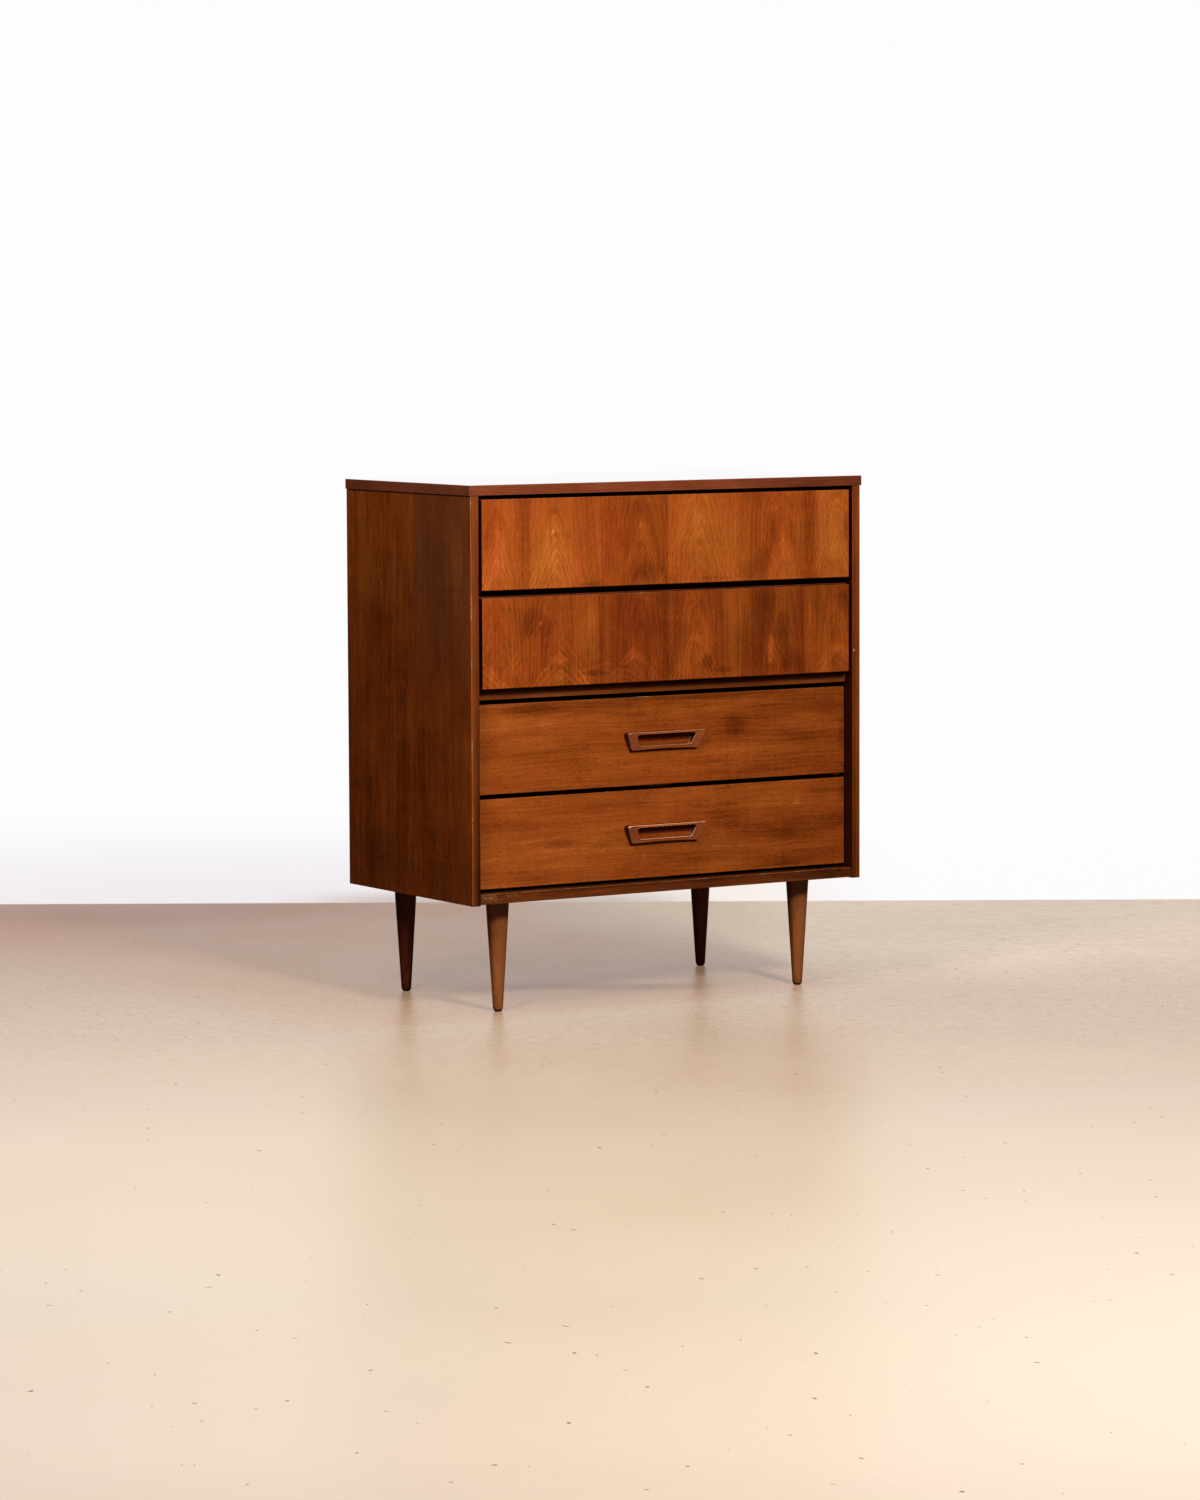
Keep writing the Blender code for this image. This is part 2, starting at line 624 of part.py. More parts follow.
def lean_back(shape, face_y, low_z):
    """Slopes the flat front of a pull back towards its lower edge."""
    front_y = face_y - PULL_TOP_PROJECTION
    front = [vertex for vertex in shape.verts if vertex.co.y < front_y + SEAT_GAP]
    slope = (PULL_TOP_PROJECTION - PULL_BOTTOM_PROJECTION) / PULL_HEIGHT
    for vertex in front:
        vertex.co.y += slope * (low_z + PULL_HEIGHT - vertex.co.z)


def make_pull(drawer, face_y, middle_z, front, material, steel, slide):
    """A carved trapezoid pull on a drawer front, held by two screws from inside the drawer."""
    outline, opening = pull_outlines(middle_z)
    seat_y = face_y - SEAT_GAP
    front_y = face_y - PULL_TOP_PROJECTION
    shape = bmesh.new()
    add_prism(shape, outline, "Y", seat_y, front_y)
    lean_back(shape, face_y, middle_z - PULL_HEIGHT / 2)
    pull = make_object(drawer + "_pull", shape, material, slide)
    recess = bmesh.new()
    add_prism(recess, opening, "Y", seat_y + CUT_PAST, front_y - CUT_PAST)
    cut_away(pull, drawer + "_pull_opening", recess, slide)
    screw_x = (PULL_TOP_WIDTH + PULL_BOTTOM_WIDTH) / 4 - PULL_SIDE_LIMB / 2
    back_y = face_y + FRONT_THICKNESS
    clear = SCREW_RADIUS + SEAT_GAP
    pull_holes = bmesh.new()
    front_holes = bmesh.new()
    for hand in (-1, 1):
        centre = (hand * screw_x, middle_z)
        add_rod(pull_holes, centre, clear, "Y", face_y - SCREW_BITE - SEAT_GAP, seat_y + CUT_PAST)
        add_rod(front_holes, centre, clear, "Y", face_y - CUT_PAST, back_y + CUT_PAST)
        word = "left" if hand < 0 else "right"
        make_screw(f"{drawer}_pull_screw_{word}", centre, face_y, back_y, steel, slide)
    ease_edges(pull, PULL_EDGE)
    cut_away(pull, drawer + "_pull_screw_holes", pull_holes, slide)
    cut_away(front, drawer + "_front_screw_holes", front_holes, slide)


def make_screw(name, centre, face_y, back_y, material, slide):
    """A screw with a low round head, lying along Y with its head inside the drawer."""
    head_y = back_y + SEAT_GAP
    tip_y = face_y - SCREW_BITE
    profile = [
        (0, head_y + SCREW_HEAD_HEIGHT),
        (SCREW_HEAD_FLAT_RADIUS, head_y + SCREW_HEAD_HEIGHT),
        (SCREW_HEAD_RADIUS, head_y + SCREW_HEAD_HEIGHT / 2),
        (SCREW_HEAD_RADIUS, head_y),
        (SCREW_RADIUS, head_y),
        (SCREW_RADIUS, tip_y + SCREW_RADIUS),
        (0, tip_y),
    ]
    shape = bmesh.new()
    points = [shape.verts.new((radius, 0, along)) for radius, along in profile]
    edges = [shape.edges.new(pair) for pair in zip(points, points[1:])]
    bmesh.ops.spin(
        shape, geom=points + edges, cent=(0, 0, 0), axis=(0, 0, 1),
        angle=math.tau, steps=HOLE_SEGMENTS, use_merge=True, use_duplicate=False,
    )
    bmesh.ops.remove_doubles(shape, verts=shape.verts, dist=MERGE_WITHIN)
    lay_down = Matrix.Rotation(-math.pi / 2, 4, "X")
    bmesh.ops.transform(shape, matrix=lay_down, verts=shape.verts)
    bmesh.ops.translate(shape, verts=shape.verts, vec=(centre[0], 0, centre[1]))
    make_object(name, shape, material, slide)


def make_drawer(drawer, rail_top, has_overlay, woods, steel):
    """One drawer on its own slide: front, box, channel, and either an overlay panel or a pull."""
    front_wood, overlay_wood, pull_wood, box_wood, ply = woods
    setback = UPPER_FRONT_SETBACK if has_overlay else LOWER_FRONT_SETBACK
    face_y = FRONT_Y + setback
    root_y = face_y + FRONT_THICKNESS
    run_z = rail_top + SEAT_GAP
    slide = bpy.data.objects.new(drawer + "_slide", None)
    slide.location = (0, face_y, run_z)
    bpy.context.scene.collection.objects.link(slide)
    if has_overlay:
        shown_low = rail_top + OVERLAY_LIFT
        low_z = shown_low - UPPER_FRONT_BELOW
        high_z = shown_low + FRONT_HEIGHT + UPPER_FRONT_ABOVE
    else:
        low_z = rail_top + LOWER_FRONT_LIFT
        high_z = low_z + FRONT_HEIGHT
    tails = tail_places(max(low_z, run_z), run_z + BOX_HEIGHT)
    shape = bmesh.new()
    add_box(shape, (-BOX_OUTER_X, face_y, low_z), (BOX_OUTER_X, root_y, high_z))
    front = make_object(drawer + "_front", shape, front_wood, slide)
    ease_edges(front, FRONT_EDGE)
    cut_front_joints(front, drawer, root_y, run_z, tails, slide)
    for hand in (-1, 1):
        make_box_side(drawer, hand, root_y, run_z, tails, box_wood, slide)
    make_box_back(drawer, run_z, box_wood, slide)
    make_box_bottom(drawer, root_y, run_z, ply, slide)
    make_channel(drawer, root_y, run_z, box_wood, slide)
    if has_overlay:
        make_overlay(drawer, shown_low, overlay_wood, slide)
    else:
        middle_z = (low_z + high_z) / 2
        make_pull(drawer, face_y, middle_z, front, pull_wood, steel, slide)


def make_runner(drawer, rail_top, has_overlay, material):
    """The centre runner of a drawer, lying on the front and rear rails, or on the base."""
    setback = UPPER_FRONT_SETBACK if has_overlay else LOWER_FRONT_SETBACK
    start_y = rail_front_y(setback, FRONT_THICKNESS) + RUNNER_END_GAP
    low_z = rail_top + SEAT_GAP
    make_board(
        drawer + "_runner",
        (-RUNNER_WIDTH / 2, start_y, low_z),
        (RUNNER_WIDTH / 2, BACK_FACE_Y - RUNNER_END_GAP, low_z + RUNNER_HEIGHT), material,
    )


def main():
    clear_scene()
    veneer = make_material("walnut_veneer", (0.150, 0.047, 0.016), 0.38)
    overlay_wood = make_material("walnut_overlay", (0.330, 0.098, 0.022), 0.36)
    front_wood = make_material("walnut_front", (0.240, 0.070, 0.018), 0.40)
    solid = make_material("walnut_solid", (0.170, 0.058, 0.022), 0.42)
    secondary = make_material("poplar", (0.420, 0.270, 0.140), 0.65)
    ply = make_material("thin_plywood", (0.480, 0.330, 0.180), 0.60)
    board = make_material("hardboard", (0.210, 0.120, 0.060), 0.75)
    steel = make_material("zinc_steel", (0.550, 0.540, 0.510), 0.35, 1.0)
    glide_metal = make_material("glide_metal", (0.100, 0.090, 0.080), 0.40, 0.9)
    make_case(veneer, solid, secondary, board)
    for name, centre in leg_places():
        make_leg(name, centre, solid, steel, glide_metal)
    woods = (front_wood, overlay_wood, solid, secondary, ply)
    for drawer, rail_top, has_overlay in DRAWERS:
        make_runner(drawer, rail_top, has_overlay, secondary)
        make_drawer(drawer, rail_top, has_overlay, woods, steel)


main()
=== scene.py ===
"""Looks of the walnut tallboy: node-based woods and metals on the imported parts, finer legs, pulls and
screws in place of the plain ones, and a pale studio at the photograph's angle.
"""

import math
from functools import partialmethod

import bmesh
import bpy
from mathutils import Matrix, Vector


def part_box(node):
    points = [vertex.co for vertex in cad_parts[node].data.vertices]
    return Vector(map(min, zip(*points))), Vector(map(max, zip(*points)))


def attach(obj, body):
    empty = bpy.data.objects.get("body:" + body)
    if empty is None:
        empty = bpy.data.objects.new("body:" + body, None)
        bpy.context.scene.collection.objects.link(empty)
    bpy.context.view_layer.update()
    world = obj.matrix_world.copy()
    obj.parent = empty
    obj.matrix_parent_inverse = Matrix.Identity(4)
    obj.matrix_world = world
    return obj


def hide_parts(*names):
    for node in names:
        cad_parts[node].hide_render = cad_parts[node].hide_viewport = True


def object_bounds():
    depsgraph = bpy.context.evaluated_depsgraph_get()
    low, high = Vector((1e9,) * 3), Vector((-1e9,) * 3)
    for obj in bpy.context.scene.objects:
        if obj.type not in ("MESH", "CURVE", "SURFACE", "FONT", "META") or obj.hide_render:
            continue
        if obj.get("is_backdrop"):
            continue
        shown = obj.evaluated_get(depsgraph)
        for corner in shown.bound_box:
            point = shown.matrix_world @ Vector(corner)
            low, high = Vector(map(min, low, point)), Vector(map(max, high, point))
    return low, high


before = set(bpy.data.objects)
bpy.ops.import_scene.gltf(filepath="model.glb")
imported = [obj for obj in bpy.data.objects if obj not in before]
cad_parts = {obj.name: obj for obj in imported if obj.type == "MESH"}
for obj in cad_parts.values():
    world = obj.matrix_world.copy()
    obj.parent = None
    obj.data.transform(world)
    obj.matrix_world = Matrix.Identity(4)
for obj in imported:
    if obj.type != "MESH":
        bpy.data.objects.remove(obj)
cad_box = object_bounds()

MM = 0.001


# Colours

def tone(code):
    """A colour written as on a colour chart, as the shaders want it."""
    channels = [int(code[index:index + 2], 16) / 255 for index in (0, 2, 4)]
    linear = [c / 12.92 if c <= 0.04045 else ((c + 0.055) / 1.055) ** 2.4 for c in channels]
    return (*linear, 1.0)


# Fields: values in a node tree, written as plain sums and products

def connect(value, socket):
    if isinstance(value, Field):
        value.tree.links.new(value.socket, socket)
    else:
        socket.default_value = value


def wired(node, inputs, output=0):
    """Sets or links a node's inputs, and returns one of its outputs as a field."""
    for name, value in inputs.items():
        connect(value, node.inputs[name])
    return Field(node.outputs[output])


class Field:
    """One value in a node tree. Each sum, product or function adds the node it needs."""

    def __init__(self, socket):
        self.socket = socket
        self.tree = socket.id_data

    def apply(self, operation, *values):
        node = self.tree.nodes.new("ShaderNodeMath")
        node.operation = operation
        return wired(node, dict(enumerate((self, *values))))

    __add__ = __radd__ = partialmethod(apply, "ADD")
    __sub__ = partialmethod(apply, "SUBTRACT")
    __mul__ = __rmul__ = partialmethod(apply, "MULTIPLY")
    __truediv__ = partialmethod(apply, "DIVIDE")
    least = partialmethod(apply, "MINIMUM")
    most = partialmethod(apply, "MAXIMUM")
    size = partialmethod(apply, "ABSOLUTE")
    root = partialmethod(apply, "SQRT")
    fraction = partialmethod(apply, "FRACT")
    whole = partialmethod(apply, "FLOOR")
    fold = partialmethod(apply, "PINGPONG")

    def __rsub__(self, other):
        return self * -1.0 + other

    def hypot(self, other):
        return (self * self + other * other).root()

    def split(self):
        """The three parts of a place or of a direction."""
        node = self.tree.nodes.new("ShaderNodeSeparateXYZ")
        connect(self, node.inputs[0])
        return [Field(output) for output in node.outputs]

    def ease(self, start, end, low=0.0, high=1.0):
        """Goes smoothly from low to high as the value goes from start to end."""
        node = self.tree.nodes.new("ShaderNodeMapRange")
        node.interpolation_type = "SMOOTHSTEP"
        ends = {"Value": self, "From Min": start, "From Max": end, "To Min": low, "To Max": high}
        return wired(node, ends, "Result")

    def fade(self, start, end):
        """Goes smoothly from 1 to 0 as the value goes from start to end."""
        return self.ease(start, end, 1.0, 0.0)

    def band(self, start, full, fading, end):
        """Rises smoothly from 0 to 1 between the first two values and falls again between the others."""
        return self.ease(start, full) * self.fade(fading, end)


def total(fields):
    result, *rest = fields
    for field in rest:
        result = result + field
    return result


# Where a Mix node has its sockets for colours
MIX_FIRST, MIX_SECOND, MIX_RESULT = 6, 7, 2
ARCH_TOP_RADIUS = 4 * MM
ARCH_LINE = 1.15
ARCH_GLOW = 0.3


class Paint:
    """A material in the making. x, y, z is the place on the part and nx, ny, nz the way it faces."""

    def __init__(self, name, specular=0.12, coat=0.0, coat_roughness=0.2, metallic=0.0):
        self.material = bpy.data.materials.new(name)
        self.material.use_nodes = True
        self.tree = self.material.node_tree
        self.shader = self.tree.nodes["Principled BSDF"]
        wired(self.shader, {
            "Specular IOR Level": specular, "Coat Weight": coat, "Coat Roughness": coat_roughness,
            "Metallic": metallic,
        })
        source = self.new("ShaderNodeTexCoord")
        self.x, self.y, self.z = Field(source.outputs["Object"]).split()
        self.nx, self.ny, self.nz = Field(source.outputs["Normal"]).split()

    def new(self, kind):
        return self.tree.nodes.new(kind)

    def noise(self, u, v, w=0.0, detail=2.0, roughness=0.5):
        """Soft random values about 0.5; u, v and w are places counted in blots of the noise."""
        place = wired(self.new("ShaderNodeCombineXYZ"), {"X": u, "Y": v, "Z": w})
        look = {"Vector": place, "Scale": 1.0, "Detail": detail, "Roughness": roughness}
        return wired(self.new("ShaderNodeTexNoise"), look)

    def sway(self, *places, **options):
        """The same noise, about 0 and between -1 and 1."""
        return self.noise(*places, **options) * 2.0 - 1.0

    def blots(self, level, upright, shift=0.0, **options):
        """Noise through the whole part, with so many blots to a metre both level ways and upright."""
        return self.noise(self.x * level, self.y * level, self.z * upright + shift, **options)

    def ramp(self, value, stops):
        node = self.new("ShaderNodeValToRGB")
        elements = node.color_ramp.elements
        while len(elements) < len(stops):
            elements.new(1.0)
        for element, (place, code) in zip(elements, stops):
            element.position = place
            element.color = tone(code)
        return wired(node, {"Fac": value})

    def mix(self, share, first, second, blend="MIX"):
        node = self.new("ShaderNodeMix")
        node.data_type = "RGBA"
        node.blend_type = blend
        inputs = {"Factor": share}
        for place, value in ((MIX_FIRST, first), (MIX_SECOND, second)):
            inputs[place] = tone(value) if isinstance(value, str) else value
        return wired(node, inputs, MIX_RESULT)

    def tint(self, share, colour, code):
        """Multiplies a share of a colour by another."""
        return self.mix(share, colour, self.mix(1.0, colour, code, "MULTIPLY"))

    def marks(self, u, v, places, seed, wobble=0.7, rough=(55.0, 14.0)):
        """Clouds at given places: each has its u, v, half width and half height in mm, and its strength.

        rough is how many blots of noise there are in a metre of their outlines, along u and v.
        """
        blur = self.sway(u * rough[0], v * rough[1], seed, detail=3.0, roughness=0.6) * wobble
        clouds = []
        for place_u, place_v, half_u, half_v, strength in places:
            across = (u - place_u * MM) / (half_u * MM)
            along = (v - place_v * MM) / (half_v * MM)
            clouds.append((across.hypot(along) + blur).ease(0.15, 1.0, strength, 0.0))
        return total(clouds)

    def steps(self, u, v, places):
        """Changes of tone across seams: each has its u and half width in mm, and the change."""
        bend = u + self.sway(v * 9.0, u * 30.0, detail=2.0) * 2 * MM
        return total([
            bend.ease((place - half_width) * MM, (place + half_width) * MM, 0.0, change)
            for place, half_width, change in places
        ])

    def arches(self, u, v, places, seed):
        """Thin lines along nests of pointed arches.

        Each nest has the place of its top, how steep its arches are, how far apart they are and how far
        down they go, in mm, and the change of value on its lines.
        """
        bend_u = u + self.sway(v * 15.0, u * 12.0, seed, detail=3.0) * 9 * MM
        bend_v = v + self.sway(u * 26.0, v * 12.0, seed + 3.0, detail=3.0) * 12 * MM
        broken = self.noise(u * 24.0, v * 16.0, seed + 6.0, detail=2.0).ease(0.32, 0.58, 0.25, 1.0)
        nests = []
        for top_u, top_v, steepness, pitch, reach, strength in places:
            across = bend_u - top_u * MM
            rounded = (across * across + ARCH_TOP_RADIUS ** 2).root() - ARCH_TOP_RADIUS
            level = top_v * MM - bend_v - rounded * steepness
            inside = level.band(-2 * MM, 0.0, 0.4 * reach * MM, reach * MM)
            thickness = (1.4 + 2.4 * steepness) * MM
            line = level.fold(pitch / 2 * MM).ease(0.6 * MM, thickness, strength * ARCH_LINE, 0.0)
            glow = level.ease(0.0, 0.7 * reach * MM, strength * ARCH_GLOW, 0.0)
            nests.append((line * broken + glow) * inside)
        return total(nests)

    def finish(self, colour, roughness, height=None, depth=0.1 * MM):
        """Sets the shader from fields: its colour, its roughness and a relief of the given depth."""
        wired(self.shader, {"Base Color": colour, "Roughness": roughness})
        if height is not None:
            bump = wired(self.new("ShaderNodeBump"), {"Strength": 1.0, "Distance": depth, "Height": height})
            connect(bump, self.shader.inputs["Normal"])
        return self.material


# Woods

WOOD_STOPS = (0.0, 0.3, 0.52, 0.74, 1.0)


def wood_tones(*codes):
    """A wood's tones from its darkest to its lightest, about a middle value of 0.5."""
    return tuple(zip(WOOD_STOPS, codes))


OVERLAY_TONES = wood_tones("3A1304", "7A350A", "A34E17", "BF6426", "DE964E")
FRONT_TONES = wood_tones("381302", "6E3006", "934613", "AA581E", "CB8546")
CASE_TONES = wood_tones("200900", "501E01", "763207", "904814", "B36C34")
SOLID_TONES = wood_tones("2E1003", "5E2909", "7E3B12", "965022", "BA7A48")
EDGE_TONES = wood_tones("2E1008", "5E2913", "7E3B20", "985232", "BC7E5A")
COVE_TONES = wood_tones("2A0A03", "4C1807", "6A260C", "803816", "9E5E36")
PULL_TONES = wood_tones("3A1305", "743112", "964A22", "AA5F32", "CC8A60")
LEG_TONES = wood_tones("40220C", "753E19", "955328", "A86638", "C48C5C")
# The rear legs' wood is a darker copy of the front legs': painted shade under the case.
SHADED_REAR_LEG_TONES = wood_tones("260A00", "541C02", "6E2A06", "82380E", "A05E30")
STAIN_TONES = wood_tones("120400", "200802", "300F03", "401708", "5A2C16")
POPLAR_TONES = wood_tones("8A6238", "A97F4C", "BF9963", "CFAE7B", "E0C79B")
# LIT_EDGE is the colour of the painted highlight along front edges.
LIT_EDGE = "A05A2A"
# The colour of the painted shadow on the middle rail under the overhanging front above it.
PAINTED_SHADOW = "3E0E04"
WORN_WOOD = "C08A5E"
REDDISH = "FFEAF2"
YELLOWISH = "F9FFF0"
SHARE_OF_PORES = 0.34


def between(first, second, share):
    return first + (second - first) * share


def rings(p, radius, spacing, seed):
    """Growth rings by distance from the pith: in each a thin dark line comes before a thin light one."""
    uneven = p.sway(radius / (spacing * 3.0), seed, detail=1.0) * 1.8
    turn = (radius / spacing + uneven).fraction()
    dark = turn.band(0.45, 0.80, 0.80, 0.92)
    light = turn.band(0.0, 0.08, 0.10, 0.28)
    return light * 0.6 - dark


def fibres(p, u, v, w=0.0):
    """Streaks along the grain, short flecks, and the fine dark pores between them."""
    streak = p.sway(u / (4.5 * MM), v / (200 * MM), w, detail=3.0, roughness=0.7)
    fleck = p.sway(u / (2.6 * MM), v / (9 * MM), w + 7.0, detail=2.0, roughness=0.6)
    pore = p.noise(u / (1.3 * MM), v / (24 * MM), w, detail=1.0).ease(0.56, 0.7)
    return streak * 0.26 + fleck * 0.2, pore


def figured(p, u, v, seed, depth, slope, spacing=9 * MM, line=1.0, mottle=1.0, fibre=1.0):
    """Flat-cut veneer: u is the place across the grain from the middle of its arches, v along it.

    Returns a value about 0.5 that follows the figure, and the pores.
    """
    bend = u + p.sway(u * 6.0, v * 3.2, seed) * 12 * MM + p.sway(u * 26.0, v * 11.0, seed) * 2 * MM
    level = v * slope + depth + p.sway(u * 3.0, v * 5.0, seed + 9.0) * 12 * MM
    radius = bend.hypot(level)
    ring = rings(p, radius, spacing, seed)
    band = p.sway(radius / (23 * MM), seed, v * 1.2, detail=1.0)
    grain, pore = fibres(p, bend, v, seed)
    cloud = p.sway(u * 15.0, v * 6.0, seed + 4.0, detail=4.0, roughness=0.62)
    curl = p.sway(u * 9.0, v * 55.0, seed + 2.0, detail=1.0) * p.noise(u * 5.0, v * 5.0, seed).ease(0.4, 0.7)
    figure = band * 0.11 + ring * 0.06
    return figure * line + grain * fibre + (cloud * 0.24 + curl * 0.09) * mottle + 0.5, pore


PITH_U, PITH_W = -38 * MM, -60 * MM
SOLID_RING = 4.5 * MM


def solid_wood(p, u, v, w, seed):
    """Solid timber: v runs along the grain, and the pith lies beside the piece."""
    lean_u = u - PITH_U + p.sway(u * 5.0, v * 2.2, seed) * 6 * MM
    lean_w = w - PITH_W + p.sway(w * 5.0, v * 2.2, seed + 5.0) * 6 * MM
    ring = rings(p, lean_u.hypot(lean_w), SOLID_RING, seed)
    streak = p.sway(u / (2.8 * MM), v / (70 * MM), w / (2.8 * MM), detail=3.0, roughness=0.6)
    pore = p.noise(u / (0.7 * MM), v / (8 * MM), w / (0.7 * MM), detail=1.0).ease(0.60, 0.74)
    cloud = p.sway(u * 12.0, v * 5.0, w * 12.0 + seed, detail=3.0)
    return streak * 0.2 + cloud * 0.2 + ring * 0.06 + 0.5, pore


def edge_distance(p, low, high):
    """How far a point on a board is from the board's nearest edge."""
    across = [
        (place - start).least(end - place)
        for place, start, end in zip((p.x, p.y, p.z), low, high)
    ]
    smaller, larger = across[0].least(across[1]), across[0].most(across[1])
    return smaller.most(larger.least(across[2]))


def broken_run(p, seed, start, end):
    """Where a long edge is rubbed: broken runs, more of them the lower start and end are."""
    return p.blots(26.0, 26.0, seed, detail=4.0, roughness=0.68).ease(start, end)


def aged(p, colour, low, high, seed, share, rim=1.2 * MM):
    """Adds to a colour a painted highlight along a front's left and top edges, with broken runs rubbed bare
    and small chips.

    share is how strong all of that is. Returns the colour, and a field that is 1 where it is bare.
    """
    forward = p.ny.fade(-0.85, -0.45)
    # lit marks the painted highlight along the left and top edges, in LIT_EDGE's colour.
    lit = (p.x - low.x).least(high.z - p.z).fade(rim * 0.6, rim) * forward
    rubbed = lit * broken_run(p, seed, 0.78 - share * 0.5, 0.86 - share * 0.3)
    reach = broken_run(p, seed + 3.0, 0.60, 0.80) * 1.8 * MM
    chipped = edge_distance(p, low, high).fade(reach * 0.5, reach + 0.05 * MM)
    chipped = chipped * broken_run(p, seed + 6.0, 0.62 - share * 0.2, 0.68 - share * 0.2)
    bare = rubbed.most(chipped)
    return p.mix(bare * 0.7, p.mix(lit * share, colour, LIT_EDGE), WORN_WOOD), bare


def wood_colour(p, value, pore, tones):
    return p.mix(pore * SHARE_OF_PORES, p.ramp(value, tones), tones[0][1])


def warmed(p, colour, yellow):
    """Turns a wood's colour from reddish to yellowish as yellow goes from 0 to 1."""
    return p.mix(1.0, colour, p.mix(yellow.ease(0.0, 1.0), REDDISH, YELLOWISH), "MULTIPLY")


def flat_on(facing):
    """1 where a face points nearly straight along an axis, by its part of that axis, and else 0."""
    return facing.ease(0.80, 0.93)


def lacquer(p, colour, value, pore, bare, roughness=0.36, relief=0.05 * MM):
    """Puts a stained and lacquered wood on the shader: its sheen is uneven and it is dull where bare."""
    smudge = p.blots(21.0, 21.0) * 2.0 - 1.0
    gloss = (smudge * 0.16 + pore * 0.22 + 1.0) * roughness + bare * 0.25
    return p.finish(colour, gloss, value * 0.3 - pore, relief)


def assign(node, material):
    """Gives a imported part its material."""
    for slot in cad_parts[node].material_slots:
        slot.link = "OBJECT"
        slot.material = material


# Overlay panels: one sheet of book-matched leaves runs down over both

FIRST_SEAM_X = -341.8 * MM
LEAF_WIDTH = 171.4 * MM
ARCH_FROM_SEAM = 67 * MM
TOP_OVERLAY = {
    "steps": (
        (-362, 12, -0.07), (-331, 9, 0.12), (-231.5, 1, -0.05), (-163, 1.2, -0.07), (-112, 1.5, -0.03),
        (-3, 2, 0.13), (172, 6, -0.11), (330, 12, -0.05), (362, 12, 0.15),
    ),
    "marks": (
        (-60, 884, 62, 32, -0.10), (-150, 905, 26, 50, -0.06), (200, 880, 46, 34, -0.10),
        (228, 908, 26, 44, -0.06), (-190, 862, 44, 9, -0.14), (-420, 980, 60, 90, -0.04),
        (345, 1000, 40, 60, -0.03), (0, 960, 110, 110, 0.03), (-285, 940, 60, 90, -0.02),
        (-277, 974, 15, 18, -0.07), (-277, 971, 6, 9, 0.18), (-285, 918, 40, 52, 0.07),
        (-68, 976, 8, 14, 0.13), (-85, 1010, 50, 30, -0.05), (75, 985, 34, 50, 0.07),
        (95, 866, 60, 8, -0.08), (277, 930, 9, 42, 0.12), (410, 925, 30, 60, 0.06),
        (436, 960, 6, 50, -0.12), (-405, 930, 22, 70, 0.05), (-430, 870, 20, 24, 0.05),
        (300, 1015, 60, 26, -0.06), (-231, 950, 1.6, 80, 0.10), (-166, 910, 3, 44, 0.08),
    ),
    "arches": (
        (-270, 1004, 2.2, 23, 170, 0.10), (-66, 986, 2.4, 19, 70, 0.09), (76, 1086, 2.4, 31, 260, 0.08),
        (278, 970, 2.6, 30, 90, 0.09), (414, 1020, 2.4, 23, 150, 0.09), (-408, 974, 3.0, 27, 110, 0.09),
        (196, 1040, 2.0, 33, 130, 0.04), (-182, 970, 2.2, 25, 100, 0.05),
    ),
    "yellow": (
        (-285, 930, 60, 110, 0.5), (80, 950, 100, 120, 0.5), (412, 930, 50, 110, 0.5),
        (-185, 890, 30, 60, 0.3), (-420, 950, 50, 130, -0.5), (-130, 980, 60, 80, -0.4),
        (250, 950, 70, 110, -0.25),
    ),
}
SECOND_OVERLAY = {
    "steps": (
        (-371, 2, -0.07), (-231.5, 3, 0.09), (-171, 1.2, -0.12), (-62, 6, -0.03), (-2, 2, 0.08),
        (133, 6, 0.06), (173, 1, -0.05), (200, 4, -0.08), (331, 5, 0.12), (386, 3, -0.07),
    ),
    "marks": (
        (-325, 788, 44, 46, -0.13), (-290, 780, 16, 34, -0.09), (-308, 788, 6, 8, 0.16),
        (-262, 712, 30, 11, 0.14), (-265, 678, 28, 12, 0.12), (-420, 690, 26, 30, 0.09),
        (-180, 683, 46, 9, -0.17), (-115, 692, 40, 6, -0.08), (-86, 715, 22, 14, 0.10),
        (-60, 780, 46, 50, -0.05), (45, 790, 6, 30, 0.09), (62, 745, 22, 13, 0.11),
        (92, 694, 18, 24, -0.18), (130, 677, 36, 10, -0.13), (172, 800, 1.8, 40, 0.14),
        (240, 815, 32, 36, -0.10), (275, 752, 34, 46, -0.09), (300, 690, 36, 36, -0.10),
        (247, 715, 12, 54, 0.17), (346, 780, 4, 28, 0.12), (412, 711, 28, 14, 0.13),
        (425, 812, 22, 36, -0.10), (-190, 800, 22, 40, 0.05),
    ),
    "arches": (
        (-262, 728, 1.1, 17, 70, 0.13), (-300, 816, 1.4, 21, 60, 0.08), (-86, 734, 1.2, 19, 60, 0.08),
        (62, 758, 1.6, 17, 80, 0.09), (245, 745, 2.4, 26, 90, 0.09), (412, 724, 1.0, 19, 60, 0.10),
        (-446, 716, 0.9, 17, 70, 0.12), (50, 832, 1.6, 23, 60, 0.06), (-160, 704, 0.4, 15, 30, 0.06),
        (-425, 800, 1.5, 25, 90, 0.05),
    ),
    "yellow": (
        (-420, 760, 50, 120, -0.5), (-300, 760, 50, 80, -0.3), (-90, 770, 90, 110, -0.5),
        (-200, 760, 34, 120, 0.4), (-265, 690, 50, 36, 0.3), (60, 720, 60, 80, 0.3),
        (170, 750, 44, 120, 0.5), (275, 760, 50, 110, 0.6), (360, 760, 40, 110, 0.3),
    ),
}


